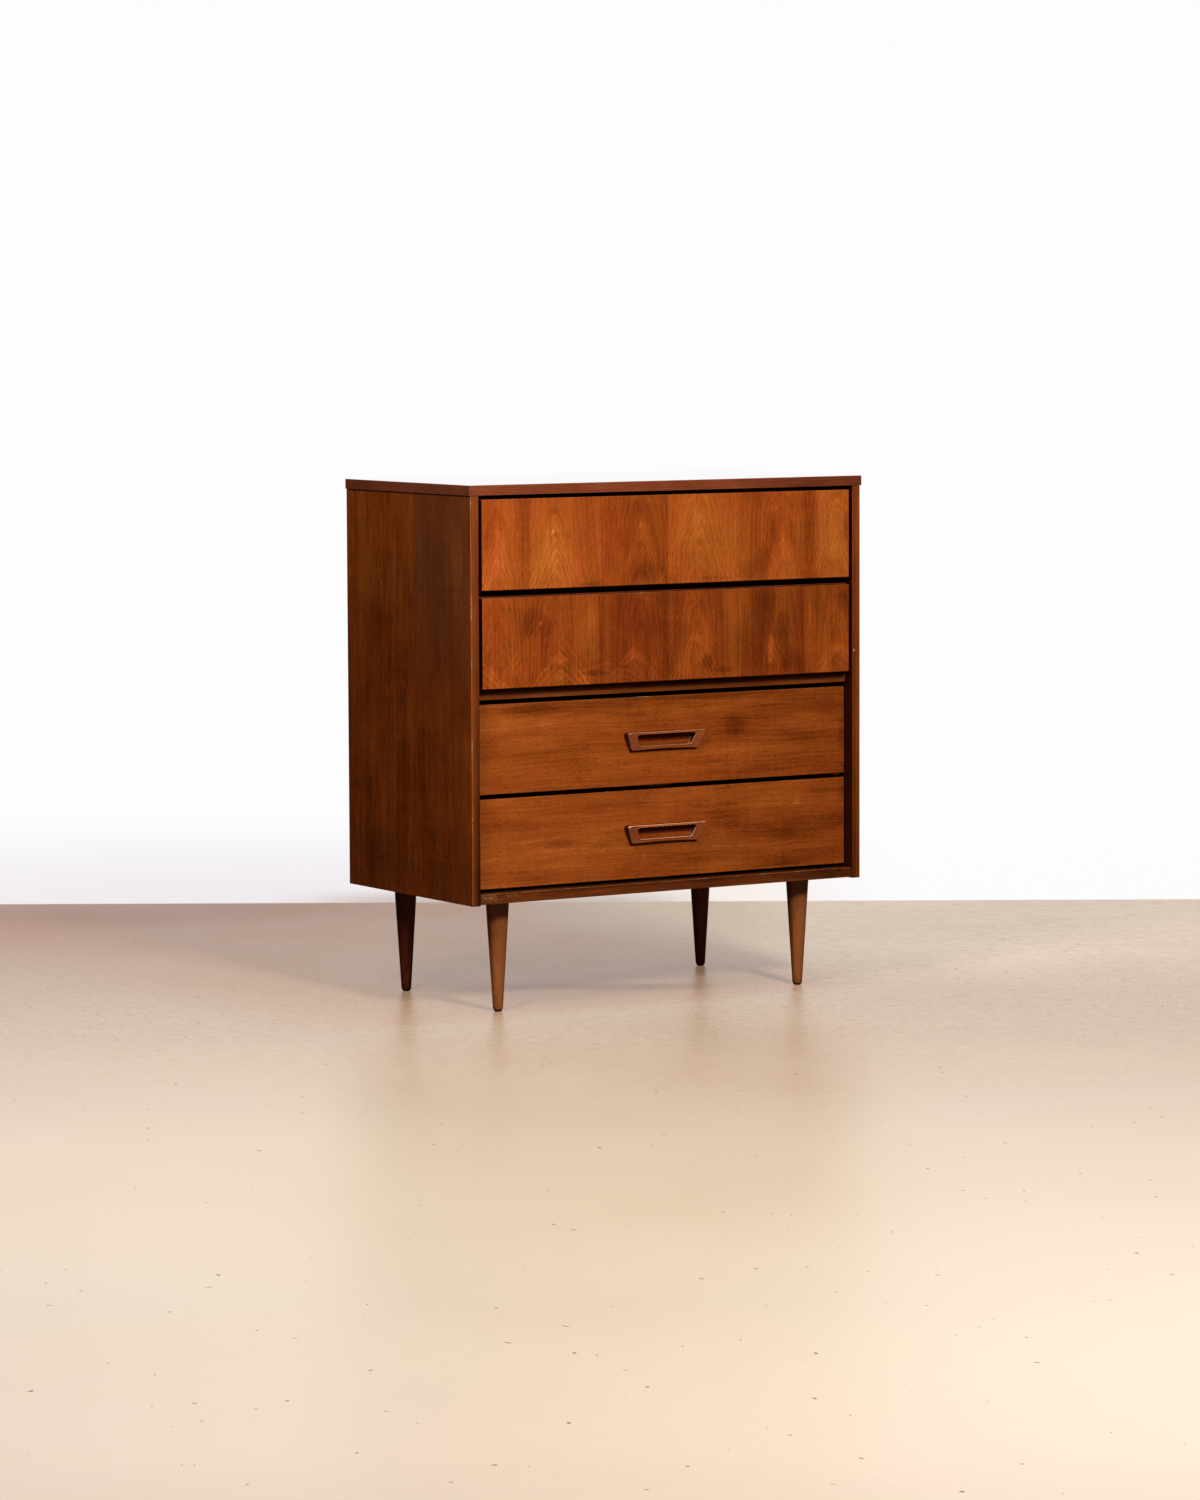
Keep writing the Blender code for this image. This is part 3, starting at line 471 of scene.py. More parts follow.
def overlay_paint(node, seed, shade, fall, steps, marks, arches, yellow):
    """A front's overlay panel; fall is how much darker its right end is than its left, partly painted light
    falloff and partly the veneer's own tone.
    """
    low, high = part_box(node)
    p = Paint(node + "_veneer")
    from_seam = p.x - FIRST_SEAM_X
    leaf = (from_seam / LEAF_WIDTH).whole()
    pair = (from_seam / (2 * LEAF_WIDTH) + 0.5).whole()
    in_leaf = from_seam.fold(LEAF_WIDTH)
    u = in_leaf - ARCH_FROM_SEAM
    leaf_seed = pair * 0.9 + leaf * 0.06 + seed
    value, pore = figured(
        p, u, p.z - 640 * MM, leaf_seed, 14 * MM, 0.13, spacing=8 * MM, line=0.8, mottle=0.7, fibre=0.7,
    )
    arch_light = u.size().ease(8 * MM, 60 * MM, 0.03, -0.02)
    drift = p.sway(p.x * 9.0, p.z * 6.0, seed + 40.0, detail=4.0, roughness=0.6) * 0.18
    # slant: partly painted light falloff across the front, partly the veneer's own tone.
    slant = p.x / high.x * (-0.5 * fall)
    value = value + arch_light + drift + slant + shade
    value = value + p.steps(p.x, p.z, steps) + p.arches(p.x, p.z, arches, seed)
    value = value + p.marks(p.x, p.z, marks, seed, wobble=0.5, rough=(26.0, 12.0))
    hue = p.sway(p.x * 9.0, p.z * 5.0, seed + 50.0, detail=3.0) * 0.5 + 0.45
    hue = hue + p.marks(p.x, p.z, yellow, seed, wobble=0.5, rough=(26.0, 12.0))
    colour = warmed(p, wood_colour(p, value, pore, OVERLAY_TONES), hue)
    stained, stained_pore = solid_wood(p, p.z, p.x, p.y, seed + 3.0)
    off_face = p.nx.size().most(p.nz.size()).ease(0.93, 0.97).most(p.ny.ease(0.2, 0.6))
    colour = p.mix(off_face, colour, p.ramp(stained, STAIN_TONES))
    pore = between(pore, stained_pore, off_face)
    colour, bare = aged(p, colour, low, high, seed, share=0.4)
    assign(node, lacquer(p, colour, value, pore, bare, roughness=0.38))


# Lower fronts: level grain

THIRD_FRONT_MARKS = (
    (-275, 583, 36, 12, 0.14), (-310, 611, 110, 14, -0.14), (0, 622, 440, 9, -0.10),
    (-60, 480, 460, 18, 0.10), (170, 560, 46, 36, -0.17), (330, 535, 130, 20, -0.11),
    (345, 575, 44, 12, 0.13), (-410, 560, 60, 60, -0.07), (-100, 502, 90, 10, 0.07),
    (442, 530, 10, 60, -0.12), (240, 470, 60, 10, -0.08), (-180, 540, 120, 16, -0.05),
    (330, 605, 130, 26, -0.09),
)
BOTTOM_FRONT_MARKS = (
    (-410, 385, 54, 54, -0.11), (-240, 388, 120, 12, 0.13), (-240, 338, 64, 11, -0.19),
    (-150, 328, 44, 8, -0.15), (-310, 291, 130, 10, 0.12), (-130, 362, 60, 10, 0.06),
    (150, 372, 64, 36, -0.12), (330, 395, 12, 14, 0.15), (290, 330, 66, 20, -0.12),
    (320, 297, 140, 8, 0.12), (300, 266, 160, 10, -0.14), (80, 290, 44, 26, -0.08),
    (0, 412, 70, 18, 0.06), (420, 398, 30, 22, 0.08), (-60, 270, 120, 8, -0.06),
)
THIRD_FRONT_CHIPS = ((-48, 627.4, 28, 0.5, 0.6),)
BOTTOM_FRONT_CHIPS = ((-133, 437.1, 1.8, 1.0, 0.8), (-89.5, 437.1, 1.8, 1.0, 0.8))
# Painted shade inside each lower pull's opening and painted shadows under its upper limb and below it: their
# half width, colour and strengths.
PULL_SHADE_HALF = 74 * MM
PULL_SHADE_TONE = "4E1204"
OPENING_SHADE_SHARE = 0.12
LIMB_SHADOW_SHARE = 0.9
BELOW_PULL_SHADOW_SHARE = 0.75
CHIP_TONE = "E8D8C4"


def lower_front_paint(node, seed, shade, fall, marks, chips):
    """Inside the pull's opening the front has painted shade, darkest in a painted shadow under the upper
    limb, and a painted shadow lies below the pull.
    """
    low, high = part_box(node)
    p = Paint(node + "_veneer")
    up = p.z - (low.z + high.z) / 2
    value, pore = figured(p, up + 120 * MM, p.x + 600 * MM, seed, 30 * MM, 0.035, spacing=7 * MM, line=0.6)
    # slant: partly painted light falloff across the front, partly the veneer's own tone.
    slant = p.x / high.x * (-0.5 * fall)
    layers = p.sway(p.x * 2.2, p.z * 30.0, seed + 20.0, detail=4.0, roughness=0.55) * 0.3
    value = value + slant + layers + shade
    value = value + p.marks(p.x, p.z, marks, seed, wobble=0.55, rough=(9.0, 30.0))
    hue = p.sway(p.x * 3.0, p.z * 14.0, seed + 50.0, detail=3.0) * 0.5 + 0.45
    colour = warmed(p, wood_colour(p, value, pore, FRONT_TONES), hue)
    from_middle = p.x.size()
    within_pull = from_middle.fade(PULL_SHADE_HALF - 3 * MM, PULL_SHADE_HALF + 3 * MM)
    # Painted shade in the opening, a painted shadow under the upper limb, and a painted shadow below the
    # pull.
    opening = up.band(-16 * MM, -8 * MM, 14 * MM, 18 * MM) * OPENING_SHADE_SHARE
    shadow_under_limb = up.band(-3 * MM, 1 * MM, 14 * MM, 18 * MM) * LIMB_SHADOW_SHARE
    painted_pull_shade = within_pull * opening.most(shadow_under_limb)
    shadow_below_pull = up.band(-25 * MM, -22 * MM, -19 * MM, -17 * MM) * from_middle.fade(80 * MM, 86 * MM)
    colour = p.mix(painted_pull_shade.most(shadow_below_pull * BELOW_PULL_SHADOW_SHARE), colour, PULL_SHADE_TONE)
    bare_value, bare_pore = solid_wood(p, p.z, p.x, p.y, seed + 3.0)
    inside = wood_colour(p, bare_value, bare_pore, POPLAR_TONES)
    rim = p.ramp(bare_value, STAIN_TONES)
    facing_in = flat_on(p.ny)
    colour = p.mix(facing_in, p.mix(flat_on(p.ny * -1.0), rim, colour), inside)
    colour, bare = aged(p, colour, low, high, seed, share=0.35)
    chipped = p.marks(p.x, p.z, chips, seed, wobble=0.5, rough=(120.0, 120.0))
    near_face = p.y.fade(low.y + 0.6 * MM, low.y + 1.4 * MM)
    colour = p.mix(chipped * near_face, colour, CHIP_TONE)
    assign(node, lacquer(p, colour, value, pore, bare + facing_in * 0.8, roughness=0.38))


# The case: veneered boards with solid lipping on their front edges

SIDE_SEAM_Y = -20 * MM
SIDE_MARKS = (
    (8, 960, 26, 130, 0.06), (150, 920, 14, 90, -0.06), (-108, 850, 46, 170, -0.12),
    (-205, 930, 40, 130, 0.05), (-225, 460, 40, 210, 0.11), (-160, 480, 34, 140, 0.04),
    (75, 640, 40, 26, 0.05), (115, 580, 14, 70, 0.06), (26, 500, 20, 170, -0.05),
    (-60, 480, 20, 170, -0.05), (-10, 560, 16, 300, 0.08), (180, 380, 60, 200, -0.07),
    (-150, 700, 60, 60, -0.03), (0, 700, 260, 90, -0.02), (100, 300, 60, 90, -0.05),
    (-240, 700, 26, 400, 0.07), (-180, 960, 60, 90, 0.03),
)
STAINED_TO_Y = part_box("left_side_panel")[0].y + 62 * MM


def stained_in_front(p, value, bare_wood):
    """The colour inside the case: dark with stain near its front, and bare wood behind."""
    behind = p.y.ease(STAINED_TO_Y, STAINED_TO_Y + 14 * MM)
    return p.mix(behind, p.ramp(value, STAIN_TONES), bare_wood)


def side_paint(node, seed, hand, fall, shaded, share):
    """A side panel: veneered outside, lipped in front, dark inside near the front and bare behind.

    fall is how much darker its lipping is low down, partly painted shade and partly the lipping's own tone,
    and shaded how much darker along its inner side.
    """
    low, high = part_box(node)
    p = Paint(node + "_veneer")
    seam = p.y - SIDE_SEAM_Y
    rear = seam.ease(-0.2 * MM, 0.2 * MM)
    value, pore = figured(p, seam.size() - 95 * MM, p.z, rear * 0.4 + seed, 25 * MM, 0.05, line=0.5)
    upright = p.sway(p.y * 40.0, p.z * 1.3, seed + 12.0, detail=3.0, roughness=0.6) * 0.13
    lower_down = (high.z - p.z) / (high.z - low.z)
    arch = p.z - 0.4 * (p.y - 90 * MM).size() + p.sway(p.y * 14.0, p.z * 6.0, seed) * 14 * MM
    pale_top = rear * arch.ease(786 * MM, 812 * MM, 0.0, 0.07)
    # lower_down darkens the veneer towards the bottom: painted shade.
    value = value + pale_top + upright - lower_down * 0.075 + 0.03
    value = value + p.marks(p.y, p.z, SIDE_MARKS, seed, wobble=0.6, rough=(24.0, 6.0))
    outer = wood_colour(p, value, pore, CASE_TONES)
    greyed = seam.fade(-9 * MM, 1 * MM) * p.z.ease(560 * MM, 900 * MM) * 0.35
    outer = p.mix(greyed, outer, "5E3A26")
    # A painted shadow under the top panel's overhang, along the side's upper edge.
    shadow_under_top = p.z.ease(high.z - 3.4 * MM, high.z - 1.8 * MM)
    outer = p.mix(shadow_under_top * 0.8, outer, "140500")
    lip_value, lip_pore = solid_wood(p, p.x, p.z, p.y, seed + 2.0)
    across = (hand * p.x - min(abs(low.x), abs(high.x))) / (high.x - low.x)
    # The lipping darkens low down: partly painted shade, partly its own tone.
    lip_value = lip_value - lower_down * fall * (1.2 - across) + 0.08
    lip_value = lip_value - across.ease(0.3, 0.6, shaded, 0.0)
    lip = wood_colour(p, lip_value, lip_pore, SOLID_TONES)
    dent = p.marks(p.x, p.z, ((455, 704, 3, 3, 0.8),), seed, wobble=0.4, rough=(90.0, 90.0))
    lip = p.mix(dent, lip, "C8B49A")
    inside_value, inside_pore = solid_wood(p, p.y, p.z, p.x, seed + 5.0)
    inside = stained_in_front(p, inside_value, wood_colour(p, inside_value, inside_pore, POPLAR_TONES))
    outward = flat_on(p.nx * hand)
    inward = flat_on(p.nx * -hand)
    colour = p.mix(inward, p.mix(outward, lip, outer), inside)
    pore = between(lip_pore, pore, outward) * (1.0 - inward)
    value = between(lip_value, value, outward)
    colour, bare = aged(p, colour, low, high, seed, share=share, rim=3 * MM)
    assign(node, lacquer(p, colour, value, pore, bare))


def top_paint(node, seed):
    low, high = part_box(node)
    p = Paint(node + "_veneer", specular=0.5, coat=1.0, coat_roughness=0.03)
    leaf = 168 * MM
    turn = (p.y - low.y) / leaf
    u = (p.y - low.y).fold(leaf) - 80 * MM
    value, pore = figured(p, u, p.x + 600 * MM, turn.whole() * 0.4 + seed, 18 * MM, 0.06)
    flat = wood_colour(p, value, pore, CASE_TONES)
    lip_value, lip_pore = solid_wood(p, p.y, p.x, p.z, seed + 2.0)
    # Lighter at the left and darker at the right: partly painted light falloff, partly the lipping's own
    # tone.
    lip_value = lip_value + p.x.ease(-200 * MM, 300 * MM, 0.03, -0.05)
    upper_arris = (high.z - p.z).fade(0.8 * MM, 2.4 * MM) * 0.10
    lower_arris = (p.z - low.z).fade(0.8 * MM, 2 * MM) * 0.07
    lip_value = lip_value + (upper_arris + lower_arris) * broken_run(p, seed, 0.30, 0.55)
    lip = wood_colour(p, lip_value, lip_pore, EDGE_TONES)
    side_lip = wood_colour(p, lip_value - 0.06, lip_pore, EDGE_TONES)
    lip = p.mix(flat_on(p.nx.size()), lip, side_lip)
    level = flat_on(p.nz.size())
    colour = p.mix(level, lip, flat)
    value, pore = between(lip_value, value, level), between(lip_pore, pore, level)
    colour, bare = aged(p, colour, low, high, seed, share=0.5)
    assign(node, lacquer(p, colour, value, pore, bare, roughness=0.07, relief=0.004 * MM))


def timber_paint(node, tones, seed, roughness, share, shade, marks=(), chips=(), shadowed_from=None):
    """A solid board with its grain along X; marks and chips are places on its front.

    share is how worn its edges are, and above the height given last it is dark with a painted shadow.
    """
    low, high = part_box(node)
    p = Paint(node + "_timber")
    value, pore = solid_wood(p, p.z, p.x, p.y, seed)
    value = value + shade
    if marks:
        value = value + p.marks(p.x, p.z, marks, seed, rough=(14.0, 55.0))
    colour, bare = aged(p, wood_colour(p, value, pore, tones), low, high, seed, share)
    # A painted shadow on the board above the given height, cast by the overhanging front above it.
    if shadowed_from is not None:
        darkening = p.z.ease(shadowed_from - 1.5 * MM, shadowed_from + 1.5 * MM, 0.0, 0.9)
        colour = p.mix(darkening, colour, PAINTED_SHADOW)
    if chips:
        scuffed = p.marks(p.x, p.z, chips, seed, wobble=0.9, rough=(30.0, 80.0))
        scratch = p.blots(1 / (5 * MM), 1 / (2 * MM), detail=4.0, roughness=0.75)
        colour = p.mix(scuffed * scratch.ease(0.45, 0.62), colour, WORN_WOOD)
    assign(node, lacquer(p, colour, value, pore, bare, roughness=roughness))


def box_timber_paint(node, grain, seed, stained=False):
    """Unlacquered timber inside the case: pale, grubby along its edges, and stained at the case's front."""
    low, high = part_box(node)
    p = Paint(node + "_timber", specular=0.2)
    places = {"X": (p.z, p.x, p.y), "Y": (p.x, p.y, p.z)}[grain]
    value, pore = solid_wood(p, *places, seed)
    darkening = edge_distance(p, low, high).fade(0.5 * MM, 9 * MM)
    darkening = darkening * p.blots(24.0, 24.0, seed, detail=4.0).ease(0.42, 0.66)
    colour = p.mix(darkening * 0.45, wood_colour(p, value, pore, POPLAR_TONES), "5E4024")
    if stained:
        colour = stained_in_front(p, value, colour)
    assign(node, p.finish(colour, pore * 0.1 + darkening * 0.1 + 0.6, value * 0.3 - pore, 0.06 * MM))


NAIL_PITCH = 86 * MM
NAIL_INSET = 6 * MM
NAIL_RADIUS = 2.2 * MM


def back_paint(node):
    """Hardboard nailed along its four edges: pressed fibres with no grain, and sunk nail heads."""
    low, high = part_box(node)
    p = Paint(node + "_board")
    fibre = p.blots(1 / (1.1 * MM), 1 / (1.1 * MM), detail=4.0, roughness=0.7)
    cloud = p.blots(7.0, 7.0, detail=4.0)
    weave = p.blots(1 / (14 * MM), 1 / (2.2 * MM))
    value = fibre * 0.35 + cloud * 0.5 + weave * 0.15
    colour = p.ramp(value, ((0.2, "4A2A16"), (0.5, "6A4226"), (0.8, "86583A")))
    from_side = (p.x - low.x).least(high.x - p.x)
    from_end = (p.z - low.z).least(high.z - p.z)
    along_x, along_z = (place.fold(NAIL_PITCH / 2) for place in (p.x - low.x, p.z - low.z))
    near_end = (from_end - NAIL_INSET).hypot(along_x)
    near_side = (from_side - NAIL_INSET).hypot(along_z)
    head = near_end.least(near_side).fade(NAIL_RADIUS * 0.8, NAIL_RADIUS)
    colour = p.mix(head, colour, "3C3833")
    stain = p.blots(3.0, 2.0, 5.0, detail=5.0, roughness=0.6).ease(0.55, 0.7)
    colour = p.mix(stain * 0.4, colour, "3A2010")
    assign(node, p.finish(colour, value * 0.1 - head * 0.25 + 0.7, fibre - head * 6.0, 0.1 * MM))


def metal_paint(name, tones, roughness=0.4):
    p = Paint(name, specular=0.5, metallic=1.0)
    cloud = p.blots(1 / (6 * MM), 1 / (6 * MM), detail=4.0, roughness=0.7)
    fine = p.blots(1 / (0.7 * MM), 1 / (0.7 * MM))
    return p.finish(p.ramp(cloud, tones), cloud * 0.25 + roughness, fine, 0.03 * MM)


# Making pieces

QUARTER_STEPS = 5


def add_object(name, data):
    added = bpy.data.objects.new(name, data)
    bpy.context.scene.collection.objects.link(added)
    return added


def make_piece(name, shape, smooth_angle=math.radians(40)):
    bmesh.ops.recalc_face_normals(shape, faces=shape.faces)
    mesh = bpy.data.meshes.new(name)
    shape.to_mesh(mesh)
    shape.free()
    mesh.shade_smooth()
    mesh.set_sharp_from_angle(angle=smooth_angle)
    return add_object(name, mesh)


def fit_piece(piece, body, slot, material, *nodes):
    """Lets a new piece move with a body and stand for the nodes it replaces; slot is not used."""
    piece.data.materials.append(material)
    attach(piece, body)
    for node in nodes:
        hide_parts(node)


def turn_profile(shape, profile, segments, placed):
    """Adds to a shape a profile of (radius, height) points, turned about Z and then placed."""
    before = set(shape.verts)
    points = [shape.verts.new((radius, 0, height)) for radius, height in profile]
    edges = [shape.edges.new(pair) for pair in zip(points, points[1:])]
    bmesh.ops.spin(
        shape, geom=points + edges, cent=(0, 0, 0), axis=(0, 0, 1),
        angle=math.tau, steps=segments, use_merge=True, use_duplicate=False,
    )
    made = [vertex for vertex in shape.verts if vertex not in before]
    bmesh.ops.remove_doubles(shape, verts=made, dist=0.01 * MM)
    made = [vertex for vertex in shape.verts if vertex not in before]
    bmesh.ops.transform(shape, matrix=placed, verts=made)


def quarter(centre_radius, centre_height, size, start):
    """Points of a quarter round in a profile, from the angle start, turning clockwise."""
    points = []
    for step in range(QUARTER_STEPS + 1):
        angle = start - math.pi / 2 * step / QUARTER_STEPS
        points.append((centre_radius + size * math.cos(angle), centre_height + size * math.sin(angle)))
    return points


# Turned legs

LEG_FOOT_RADIUS = 10.2 * MM
LEG_STUB_RADIUS = 4 * MM
LEG_ROUND = 1.6 * MM
LEG_TOP = 226 * MM
LEG_SEGMENTS = 72


def leg_paint(name, centre, seed, tones, shade):
    p = Paint(name + "_wood", specular=0.2)
    u, w = p.x - centre.x, p.y - centre.y
    value, pore = solid_wood(p, u, p.z, w, seed)
    # A painted shadow of the case over the top of the leg, and painted shade on its left side.
    shadow_below_case = p.z.ease(170 * MM, LEG_TOP, 0.0, -0.06) + shade
    shaded_left = (p.nx * 0.86 - p.ny * 0.5).ease(-0.75, -0.45, -0.16, 0.0)
    scuff = p.blots(40.0, 16.0, seed, detail=4.0, roughness=0.7)
    low_wear = p.z.fade(6 * MM, 60 * MM) * scuff.ease(0.52, 0.66) * 0.5
    bare = low_wear.most(scuff.ease(0.66, 0.74) * 0.35)
    colour = wood_colour(p, value + shadow_below_case + shaded_left, pore, tones)
    colour = p.mix(bare, colour, WORN_WOOD)
    darkening = p.z.ease(5 * MM, 16 * MM, 0.6, 0.0) * scuff.ease(0.35, 0.55)
    colour = p.mix(darkening, colour, "2A1408")
    return lacquer(p, colour, value, pore, bare, roughness=0.34)


def make_leg(place, seed, tones, shade):
    node = "leg_" + place
    low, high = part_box(node)
    centre = Vector(((low.x + high.x) / 2, (low.y + high.y) / 2, 0))
    top_radius = (high.x - low.x) / 2
    foot = low.z
    profile = [(0, high.z), (LEG_STUB_RADIUS, high.z), (LEG_STUB_RADIUS, LEG_TOP)]
    profile += quarter(top_radius - LEG_ROUND, LEG_TOP - LEG_ROUND, LEG_ROUND, math.pi / 2)
    profile += quarter(LEG_FOOT_RADIUS - LEG_ROUND, foot + LEG_ROUND, LEG_ROUND, 0.0)
    profile.append((0, foot))
    shape = bmesh.new()
    turn_profile(shape, profile, LEG_SEGMENTS, Matrix.Translation(centre))
    leg = make_piece("turned_" + node, shape)
    fit_piece(leg, "case", "walnut_solid", leg_paint(node, centre, seed, tones, shade), node)


# Carved pulls

PULL_TOP_WIDTH = 194 * MM
PULL_BOTTOM_WIDTH = 162 * MM
PULL_TOP_PROJECTION = 18.8 * MM
PULL_BOTTOM_PROJECTION = 9 * MM
PULL_TOP_LIMB = 5 * MM
PULL_BOTTOM_LIMB = 9 * MM
PULL_SIDE_LIMB = 22.5 * MM
PULL_ARCH = 2 * MM
PULL_TOP_CORNER = 5.5 * MM
PULL_BOTTOM_CORNER = 9 * MM
PULL_INNER_CORNER = 5 * MM
PULL_SIDE_ROUND = 3.6 * MM
PULL_UPPER_ROUND = 1.8 * MM
PULL_LOWER_ROUND = 1.6 * MM
PULL_INNER_ROUND = 1.3 * MM
PULL_HOLLOW = 0.6 * MM
CORNER_STEPS = 9
SIDE_STEPS = 14
ROUND_STEPS = 6
FACE_STEPS = 5


def corner_arc(corners, index, radius):
    """A rounded corner of an outline: points in (x, z), each with the way it faces."""
    corner = Vector(corners[index])
    before = (Vector(corners[index - 1]) - corner).normalized()
    after = (Vector(corners[(index + 1) % len(corners)]) - corner).normalized()
    half = before.angle(after) / 2
    centre = corner + (before + after).normalized() * radius / math.sin(half)
    first = corner + before * radius / math.tan(half) - centre
    last = corner + after * radius / math.tan(half) - centre
    start = math.atan2(first.y, first.x)
    sweep = (math.atan2(last.y, last.x) - start + math.pi) % math.tau - math.pi
    arc = []
    for step in range(CORNER_STEPS + 1):
        angle = start + sweep * step / CORNER_STEPS
        facing = Vector((math.cos(angle), math.sin(angle)))
        arc.append((centre + facing * radius, facing))
    return arc


def rounded_loop(corners, radii, arch):
    """A rounded outline from its lower left corner, with the same number of points on every side.

    The lower side rises by arch in its middle.
    """
    arcs = [corner_arc(corners, index, radius) for index, radius in enumerate(radii)]
    loop = []
    for index, arc in enumerate(arcs):
        loop.extend(arc)
        (start, facing), (end, _) = arc[-1], arcs[(index + 1) % len(arcs)][0]
        for step in range(1, SIDE_STEPS):
            share = step / SIDE_STEPS
            rise = arch * (1 - (2 * share - 1) ** 2) if index == 0 else 0.0
            loop.append((start.lerp(end, share) + Vector((0, rise)), facing))
    return loop


def pull_loops(low, high):
    """The outer outline of a pull and the outline of its opening."""
    lean = (PULL_TOP_WIDTH - PULL_BOTTOM_WIDTH) / 2 / (high.z - low.z)
    low_x, high_x = PULL_BOTTOM_WIDTH / 2, PULL_TOP_WIDTH / 2
    corners = [(-low_x, low.z), (low_x, low.z), (high_x, high.z), (-high_x, high.z)]
    radii = [PULL_BOTTOM_CORNER, PULL_BOTTOM_CORNER, PULL_TOP_CORNER, PULL_TOP_CORNER]
    outer = rounded_loop(corners, radii, PULL_ARCH)
    low_x += lean * PULL_BOTTOM_LIMB - PULL_SIDE_LIMB
    high_x -= lean * PULL_TOP_LIMB + PULL_SIDE_LIMB
    low_z, high_z = low.z + PULL_BOTTOM_LIMB, high.z - PULL_TOP_LIMB
    corners = [(-low_x, low_z), (low_x, low_z), (high_x, high_z), (-high_x, high_z)]
    inner = rounded_loop(corners, [PULL_INNER_CORNER] * 4, 0.0)
    return outer, inner


def pull_slope(low, high):
    return (PULL_TOP_PROJECTION - PULL_BOTTOM_PROJECTION) / (high.z - low.z)


def pull_paint(name, low, high, seed, rim_light):
    """Lacquered solid wood with painted shade on its sides, inner walls and underside, painted highlights on
    its upward rims, its left rim and its upper left corner, and pale worn spots at the foot of its inner
    walls.
    """
    p = Paint(name + "_wood", specular=0.4)
    value, pore = solid_wood(p, p.z, p.x, p.y, seed)
    depth = p.y - low.y - (high.z - p.z) * pull_slope(low, high)
    # Surfaces set back behind the face and faces turned down carry painted shade.
    shaded_flank = depth.ease(0.5 * MM, 1.1 * MM)
    facing_down = p.nz.fade(-0.9, -0.7)
    colour = wood_colour(p, value, pore, PULL_TONES)
    # A painted highlight on rims that face up, and a fainter one on the left rim.
    upper_rim_highlight = p.nz.ease(0.15, 0.45) * depth.fade(2.6 * MM, 3.6 * MM)
    left_rim_highlight = p.nx.fade(-0.6, -0.3) * depth.fade(0.3 * MM, 0.6 * MM)
    colour = p.mix(shaded_flank.most(facing_down) * (1.0 - upper_rim_highlight) * 0.95, colour, "180501")
    colour = p.mix(upper_rim_highlight * rim_light, colour, "F0A066")
    colour = p.mix(left_rim_highlight * 0.3, colour, "C88A60")
    middle = (low.z + high.z) / 2 / MM
    # A painted highlight at the face's upper left corner, mixed in with the pale worn spots at the inner
    # walls' foot.
    corner = p.marks(p.x, p.z, ((-92, middle + 18, 7, 4, 1.0),), seed, wobble=0.4, rough=(90.0, 90.0))
    wall_foot = p.marks(p.x, p.z, (
        (62, middle - 8, 8, 5, 1.0), (66, middle - 2, 5, 9, 1.0),
        (30, middle - 10, 40, 2, 0.5), (-60, middle - 9, 8, 3, 0.8),
    ), seed, wobble=0.5, rough=(120.0, 120.0))
    wall_foot = wall_foot * p.y.ease(high.y - 3.5 * MM, high.y - 2 * MM)
    run = p.blots(150.0, 150.0, seed, detail=3.0, roughness=0.7).ease(0.38, 0.52)
    bare = ((corner * depth.fade(1.5 * MM, 2.5 * MM)).most(wall_foot) * run).least(1.0)
    colour = p.mix(bare * 0.8, colour, "E8C8A0")
    return lacquer(p, colour, value, pore, bare, roughness=0.3, relief=0.03 * MM)


def make_pull(drawer, seed, rim_light):
    """A trapezoid frame whose face leans back towards its arched lower edge, all its rims rounded."""
    node = drawer + "_pull"
    low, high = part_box(node)
    slope = pull_slope(low, high)
    outer, inner = pull_loops(low, high)
    shape = bmesh.new()

    def ring(points, depths):
        """A loop of vertices; a depth is how far one is behind the sloping face, or None at the seat."""
        loop = []
        for point, depth in zip(points, depths):
            y = high.y if depth is None else low.y + slope * (high.z - point.y) + depth
            loop.append(shape.verts.new((point.x, y, point.y)))
        return loop

    seat = [None] * len(outer)
    rounds = []
    for _, facing in outer:
        furthest = PULL_UPPER_ROUND if facing.y > 0 else PULL_LOWER_ROUND
        rounds.append(PULL_SIDE_ROUND + (furthest - PULL_SIDE_ROUND) * abs(facing.y))
    loops = [ring([point for point, _ in outer], seat)]
    for step in range(ROUND_STEPS + 1):
        angle = math.pi / 2 * step / ROUND_STEPS
        points = [point - facing * r * (1 - math.cos(angle)) for (point, facing), r in zip(outer, rounds)]
        loops.append(ring(points, [r * (1 - math.sin(angle)) for r in rounds]))
    rim = [point - facing * r for (point, facing), r in zip(outer, rounds)]
    lip = [point + facing * PULL_INNER_ROUND for point, facing in inner]
    for step in range(1, FACE_STEPS):
        share = step / FACE_STEPS
        dip = PULL_HOLLOW * math.sin(math.pi * share) ** 2
        loops.append(ring([start.lerp(end, share) for start, end in zip(rim, lip)], [dip] * len(rim)))
    for step in range(ROUND_STEPS + 1):
        angle = math.pi / 2 * step / ROUND_STEPS
        points = [point + facing * PULL_INNER_ROUND * (1 - math.sin(angle)) for point, facing in inner]
        loops.append(ring(points, [PULL_INNER_ROUND * (1 - math.cos(angle))] * len(points)))
    loops.append(ring([point for point, _ in inner], seat))
    for first, second in zip(loops, loops[1:] + loops[:1]):
        for index in range(len(first)):
            follow = (index + 1) % len(first)
            shape.faces.new((first[index], first[follow], second[follow], second[index]))
    pull = make_piece("carved_" + node, shape)
    fit_piece(pull, drawer, "walnut_solid", pull_paint(node, low, high, seed, rim_light), node)


# Screws

